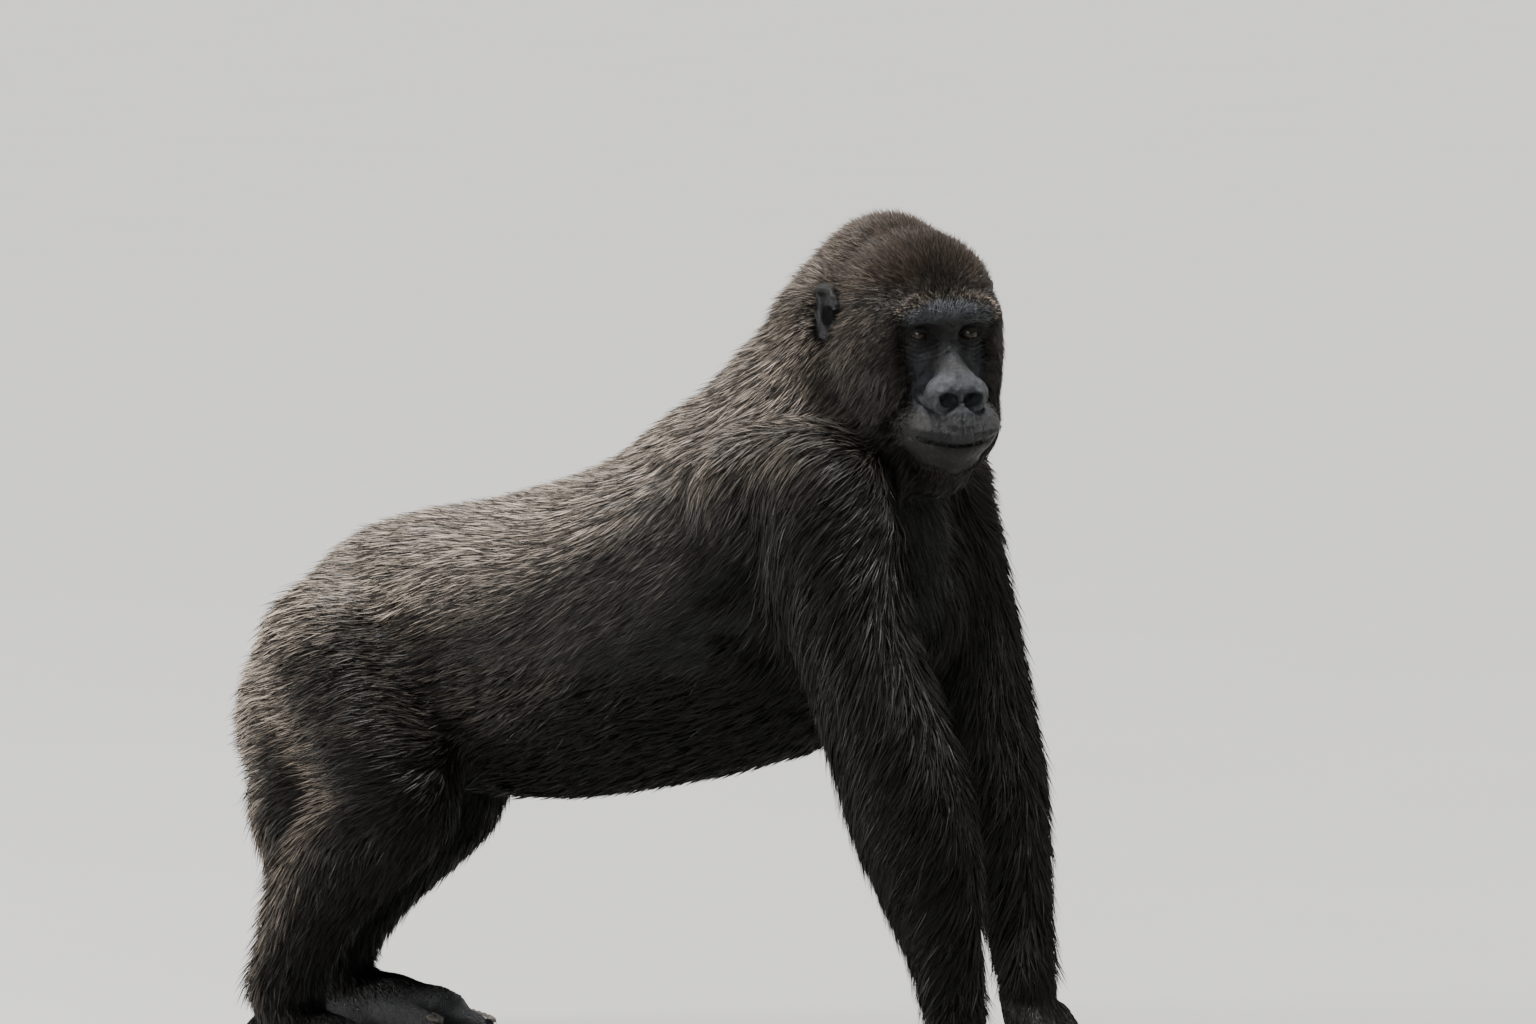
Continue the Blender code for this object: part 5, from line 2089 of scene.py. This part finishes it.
@dataclass(frozen=True)
class SkinFinish:
    """Leathery charcoal skin where it is bare, with slate grey and painted sheen on brow, nose and
    lip, and coat-coloured beneath the hair.
    """

    name: str = "gorilla_skin"
    colours: CoatColours = CoatColours()
    gloss: float = 0.24
    bump_strength: float = 0.85
    bump_distance: float = 0.0018

    def material(self) -> bpy.types.Material:
        """Build the material.

        Returns:
            The material.
        """
        material, desk, shader = new_material(self.name)
        place = desk.add("ShaderNodeNewGeometry").outputs["Position"]
        marks = desk.add("ShaderNodeGroup", node_tree=self.colours.group())
        desk.link(desk.mark("grizzle_and_sheen"), marks.inputs["Grizzle_and_sheen"])
        desk.link(desk.mark("crown"), marks.inputs["Crown"])
        marks.inputs["Shade"].default_value = 0.42
        marks.inputs["Along"].default_value = 0.15
        blotch = desk.span(desk.noise(place, 110.0, 6.0, 0.7), 0.32, 0.66, 0.30, 1.35)
        # Slate grey is mixed in where the mark is high: partly skin tone, partly painted sheen.
        share = desk.math("MULTIPLY", desk.mark("slate_and_sheen"), blotch)
        leather = desk.blend(share, self.colours.bare, self.colours.slate_and_sheen)
        colour = desk.blend(desk.mark("bare"), marks.outputs["Color"], leather)
        desk.link(colour, shader.inputs["Base Color"])
        desk.link(desk.span(desk.noise(place, 160.0, 2.0), 0.3, 0.7, 0.42, 0.60),
                  shader.inputs["Roughness"])
        cells = desk.add("ShaderNodeTexVoronoi", feature="DISTANCE_TO_EDGE")
        desk.link(place, cells.inputs["Vector"])
        cells.inputs["Scale"].default_value = 520.0
        pores = desk.span(cells.outputs["Distance"], 0.0, 0.22)
        creases = desk.noise(place, 300.0, 4.0, 0.6)
        folds = desk.noise(place, 210.0, 5.0, 0.7)
        height = desk.math("ADD", desk.math("MULTIPLY", pores, 0.6), creases)
        height = desk.math("ADD", height, desk.math("MULTIPLY", folds, 1.4))
        bump = desk.add("ShaderNodeBump")
        bump.inputs["Strength"].default_value = self.bump_strength
        bump.inputs["Distance"].default_value = self.bump_distance
        desk.link(height, bump.inputs["Height"])
        desk.link(bump.outputs["Normal"], shader.inputs["Normal"])
        shader.inputs["Specular IOR Level"].default_value = self.gloss
        return material


@dataclass(frozen=True)
class NailFinish:
    """Dull dark horn, faintly ridged along its length."""

    name: str = "nail_horn"
    dark: tuple = (0.030, 0.026, 0.023, 1.0)
    light: tuple = (0.075, 0.064, 0.054, 1.0)

    def material(self) -> bpy.types.Material:
        """Build the material.

        Returns:
            The material.
        """
        material, desk, shader = new_material(self.name)
        place = desk.add("ShaderNodeNewGeometry").outputs["Position"]
        grain = desk.noise(place, 420.0, 3.0)
        desk.link(desk.blend(grain, self.dark, self.light), shader.inputs["Base Color"])
        desk.link(desk.span(grain, 0.2, 0.8, 0.30, 0.48), shader.inputs["Roughness"])
        bump = desk.add("ShaderNodeBump")
        bump.inputs["Strength"].default_value = 0.3
        bump.inputs["Distance"].default_value = 0.0003
        desk.link(grain, bump.inputs["Height"])
        desk.link(bump.outputs["Normal"], shader.inputs["Normal"])
        return material


@dataclass(frozen=True)
class EyeFinish:
    """Wet dark-brown eye with a near-black pupil and a brown white."""

    name: str
    centre: tuple
    gaze: tuple
    iris: float = 0.0064
    pupil: float = 0.0026

    def material(self) -> bpy.types.Material:
        """Build the material.

        Returns:
            The material.
        """
        material, desk, shader = new_material(self.name)
        place = desk.add("ShaderNodeNewGeometry").outputs["Position"]
        away = desk.add("ShaderNodeVectorMath", operation="SUBTRACT")
        desk.link(place, away.inputs[0])
        away.inputs[1].default_value = self.centre
        cross = desk.add("ShaderNodeVectorMath", operation="CROSS_PRODUCT")
        desk.link(away.outputs[0], cross.inputs[0])
        cross.inputs[1].default_value = self.gaze
        size = desk.add("ShaderNodeVectorMath", operation="LENGTH")
        desk.link(cross.outputs[0], size.inputs[0])
        off = size.outputs["Value"]
        rays = desk.noise(away.outputs[0], 1400.0, 2.0)
        white = desk.blend(rays, (0.006, 0.0045, 0.004, 1.0), (0.012, 0.009, 0.007, 1.0))
        iris = desk.blend(rays, (0.009, 0.0055, 0.003, 1.0), (0.026, 0.0175, 0.008, 1.0))
        ring = desk.span(off, self.iris - 0.0014, self.iris)
        colour = desk.blend(ring, iris, (0.004, 0.003, 0.002, 1.0))
        outer = desk.span(off, self.iris - 0.0002, self.iris + 0.0009)
        colour = desk.blend(outer, colour, white)
        hole = desk.span(off, self.pupil, self.pupil + 0.0005)
        colour = desk.blend(hole, (0.002, 0.002, 0.002, 1.0), colour)
        desk.link(colour, shader.inputs["Base Color"])
        shader.inputs["Roughness"].default_value = 0.26
        shader.inputs["Specular IOR Level"].default_value = 0.18
        shader.inputs["Coat Weight"].default_value = 0.12
        shader.inputs["Coat Roughness"].default_value = 0.05
        return material


@dataclass(frozen=True)
class FloorFinish:
    """Pale, matt floor."""

    name: str = "pale_floor"

    def material(self) -> bpy.types.Material:
        """Build the material.

        Returns:
            The material.
        """
        material, desk, shader = new_material(self.name)
        place = desk.add("ShaderNodeNewGeometry").outputs["Position"]
        cloud = desk.noise(place, 1.5, 3.0)
        desk.link(desk.blend(cloud, (0.270, 0.270, 0.266, 1.0), (0.285, 0.285, 0.281, 1.0)),
                  shader.inputs["Base Color"])
        shader.inputs["Roughness"].default_value = 0.85
        return material


# --- eyes ---
@dataclass
class Eye:
    """One eyeball with its raised cornea."""

    side: str
    head: HeadFrame
    cornea_radius: float = 0.0062
    cornea_rise: float = 0.0008

    def build(self) -> bpy.types.Object:
        """Build and dress the eyeball.

        Returns:
            The piece.
        """
        low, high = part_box("eye_" + self.side)
        centre = (low + high) / 2.0
        radius = (high.z - low.z) / 2.0
        gaze = Vector(unit(self.head.axes[1] + np.array((0.0, 0.0, -0.05))))
        mesh = bpy.data.meshes.new("eyeball_" + self.side)
        build = bmesh.new()
        bmesh.ops.create_uvsphere(build, u_segments=64, v_segments=40, radius=radius)
        turn = gaze.to_track_quat("Z", "Y").to_matrix()
        for vert in build.verts:
            off = math.hypot(vert.co.x, vert.co.y)
            if vert.co.z > 0.0 and off < self.cornea_radius:
                swell = 1.0 - (off / self.cornea_radius) ** 2
                vert.co *= 1.0 + self.cornea_rise * swell ** 1.5 / radius
            vert.co = turn @ vert.co + centre
        build.to_mesh(mesh)
        build.free()
        # The sphere's faces come in a new order on every call, so they are put in a fixed one.
        faces = sorted((tuple(face.vertices) for face in mesh.polygons), key=sorted)
        corners = [tuple(vert.co) for vert in mesh.vertices]
        mesh.clear_geometry()
        mesh.from_pydata(corners, [], faces)
        mesh.shade_smooth()
        piece = bpy.data.objects.new("eyeball_" + self.side, mesh)
        bpy.context.scene.collection.objects.link(piece)
        finish = EyeFinish("eye_wet_" + self.side, tuple(centre), tuple(gaze))
        mesh.materials.append(finish.material())
        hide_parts("eye_" + self.side)
        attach(piece, BODY)
        return piece


# --- studio ---
@dataclass(frozen=True)
class Lamp:
    """One soft light; a distant one shines evenly from its place's direction."""

    name: str
    place: tuple[float, float, float]
    power: float
    size: float
    colour: tuple[float, float, float] = (1.0, 1.0, 1.0)
    distant: bool = False

    def build(self) -> None:
        """Hang the light and aim it at the body."""
        lamp = bpy.data.lights.new(self.name, "SUN" if self.distant else "AREA")
        lamp.energy = self.power
        if self.distant:
            lamp.angle = self.size
        else:
            lamp.size = self.size
        lamp.color = self.colour
        light = bpy.data.objects.new(self.name, lamp)
        light.location = self.place
        toward = Vector((0.0, -0.1, 0.6)) - Vector(self.place)
        light.rotation_euler = toward.to_track_quat("-Z", "Y").to_euler()
        bpy.context.scene.collection.objects.link(light)


@dataclass
class Studio:
    """Floor, surround, lights and camera."""

    floor_size: float = 240.0
    distance: float = 12.0
    frame_width: float = 1.7965
    sensor: float = 36.0
    horizon: float = 1.02
    zenith: float = 0.26
    lamps: tuple = (
        Lamp("key", (0.2, -0.6, 5.2), 12.0, 0.30, (1.0, 0.985, 0.96), True),
        Lamp("fill", (-5.2, -2.4, 3.0), 105.0, 1.1, (0.97, 0.99, 1.0)),
        Lamp("rear", (-2.9, 4.6, 2.2), 520.0, 1.8, (1.0, 0.985, 0.96)),
    )

    def build(self) -> None:
        """Build everything round the animal."""
        self.lay_floor()
        self.light_surround()
        for lamp in self.lamps:
            lamp.build()
        self.set_camera()

    def lay_floor(self) -> None:
        """Lay the pale floor."""
        mesh = bpy.data.meshes.new("floor")
        build = bmesh.new()
        bmesh.ops.create_grid(build, x_segments=1, y_segments=1, size=self.floor_size / 2.0)
        build.to_mesh(mesh)
        build.free()
        mesh.materials.append(FloorFinish().material())
        floor = bpy.data.objects.new("floor", mesh)
        bpy.context.scene.collection.objects.link(floor)

    def light_surround(self) -> None:
        """Give the world a plain pale glow, brightest round the horizon."""
        world = bpy.data.worlds.new("surround")
        world.use_nodes = True
        desk = Desk(world.node_tree)
        glow = world.node_tree.nodes["Background"]
        ways = desk.add("ShaderNodeTexCoord").outputs["Generated"]
        parts = desk.add("ShaderNodeSeparateXYZ")
        desk.link(ways, parts.inputs[0])
        desk.link(desk.span(parts.outputs["Z"], 0.06, 0.24, self.horizon, self.zenith),
                  glow.inputs["Strength"])
        glow.inputs["Color"].default_value = (0.98, 1.0, 1.0, 1.0)
        bpy.context.scene.world = world

    def set_camera(self) -> None:
        """Place the camera low on the animal's right, ahead of its shoulder."""
        right = Vector((0.454, -0.891, 0.0))
        up = Vector((0.0777, 0.0396, 0.9962))
        back = Vector((-0.8876, -0.4523, 0.0872))
        aim = right * 0.1497 + up * 0.6538 + Vector((-0.003, -0.005, 0.0))
        data = bpy.data.cameras.new("camera")
        data.sensor_width = self.sensor
        data.lens = self.sensor * self.distance / self.frame_width
        data.clip_end = 400.0
        camera = bpy.data.objects.new("camera", data)
        turn = Matrix((right, up, back)).transposed().to_4x4()
        camera.matrix_world = Matrix.Translation(aim + back * self.distance) @ turn
        bpy.context.scene.collection.objects.link(camera)
        bpy.context.scene.camera = camera


def mark_skin(skin: SkinMesh) -> None:
    """Write the markings onto the skin.

    Args:
        skin: The finished skin.
    """
    points, _ = mesh_arrays(skin.piece)
    for name, values in (
        ("grizzle_and_sheen", MARKINGS.grizzle_and_sheen(skin.shape, points)),
        ("crown", MARKINGS.crown(skin.shape, points)),
        ("bare", MARKINGS.bare(skin.shape, points)),
        ("slate_and_sheen", MARKINGS.slate_and_sheen(skin.shape, points)),
    ):
        layer = skin.piece.data.attributes.new(name, "FLOAT", "POINT")
        layer.data.foreach_set("value", values.astype(np.float32))


def dress_nails() -> None:
    """Give the nails' own solids their horn."""
    horn = NailFinish().material()
    for node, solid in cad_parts.items():
        if "_nail_" in node:
            for slot in solid.material_slots:
                slot.material = horn


def main() -> None:
    """Build the gorilla piece by piece."""
    logging.basicConfig(level=logging.INFO, format="%(message)s")
    head = HeadFrame.from_eyes()
    shape = BodyShape(head, Face.from_frame(head))
    shape.build()
    log.info("body measured on a grid of %s", shape.grid.shape)
    skin = SkinMesh(shape)
    piece = skin.build()
    mark_skin(skin)
    piece.data.materials.append(SkinFinish().material())
    flesh = [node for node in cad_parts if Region.of_node(node) or node.startswith("ear_")]
    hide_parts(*flesh)
    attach(piece, BODY)
    log.info("skin: %d faces", len(piece.data.polygons))
    saddle = FurFinish("saddle_hair", 0.54, 0.05, 0.28).material()
    limbs = FurFinish("limb_hair", 0.54, 0.0, 0.15).material()
    crown = FurFinish("crown_hair", 0.56, 0.0, 0.18).material()
    finishes = {"fur_back": saddle, "fur_limbs": limbs, "fur_crown": crown}
    for kind, tufts in zip(Tufts, Coat(skin).build()):
        tufts.data.materials.append(finishes[kind.value.slot])
    for side in SIDES:
        log.info("%s: ready", Eye(side, head).build().name)
    dress_nails()
    Studio().build()


if __name__ == "__main__":
    main()
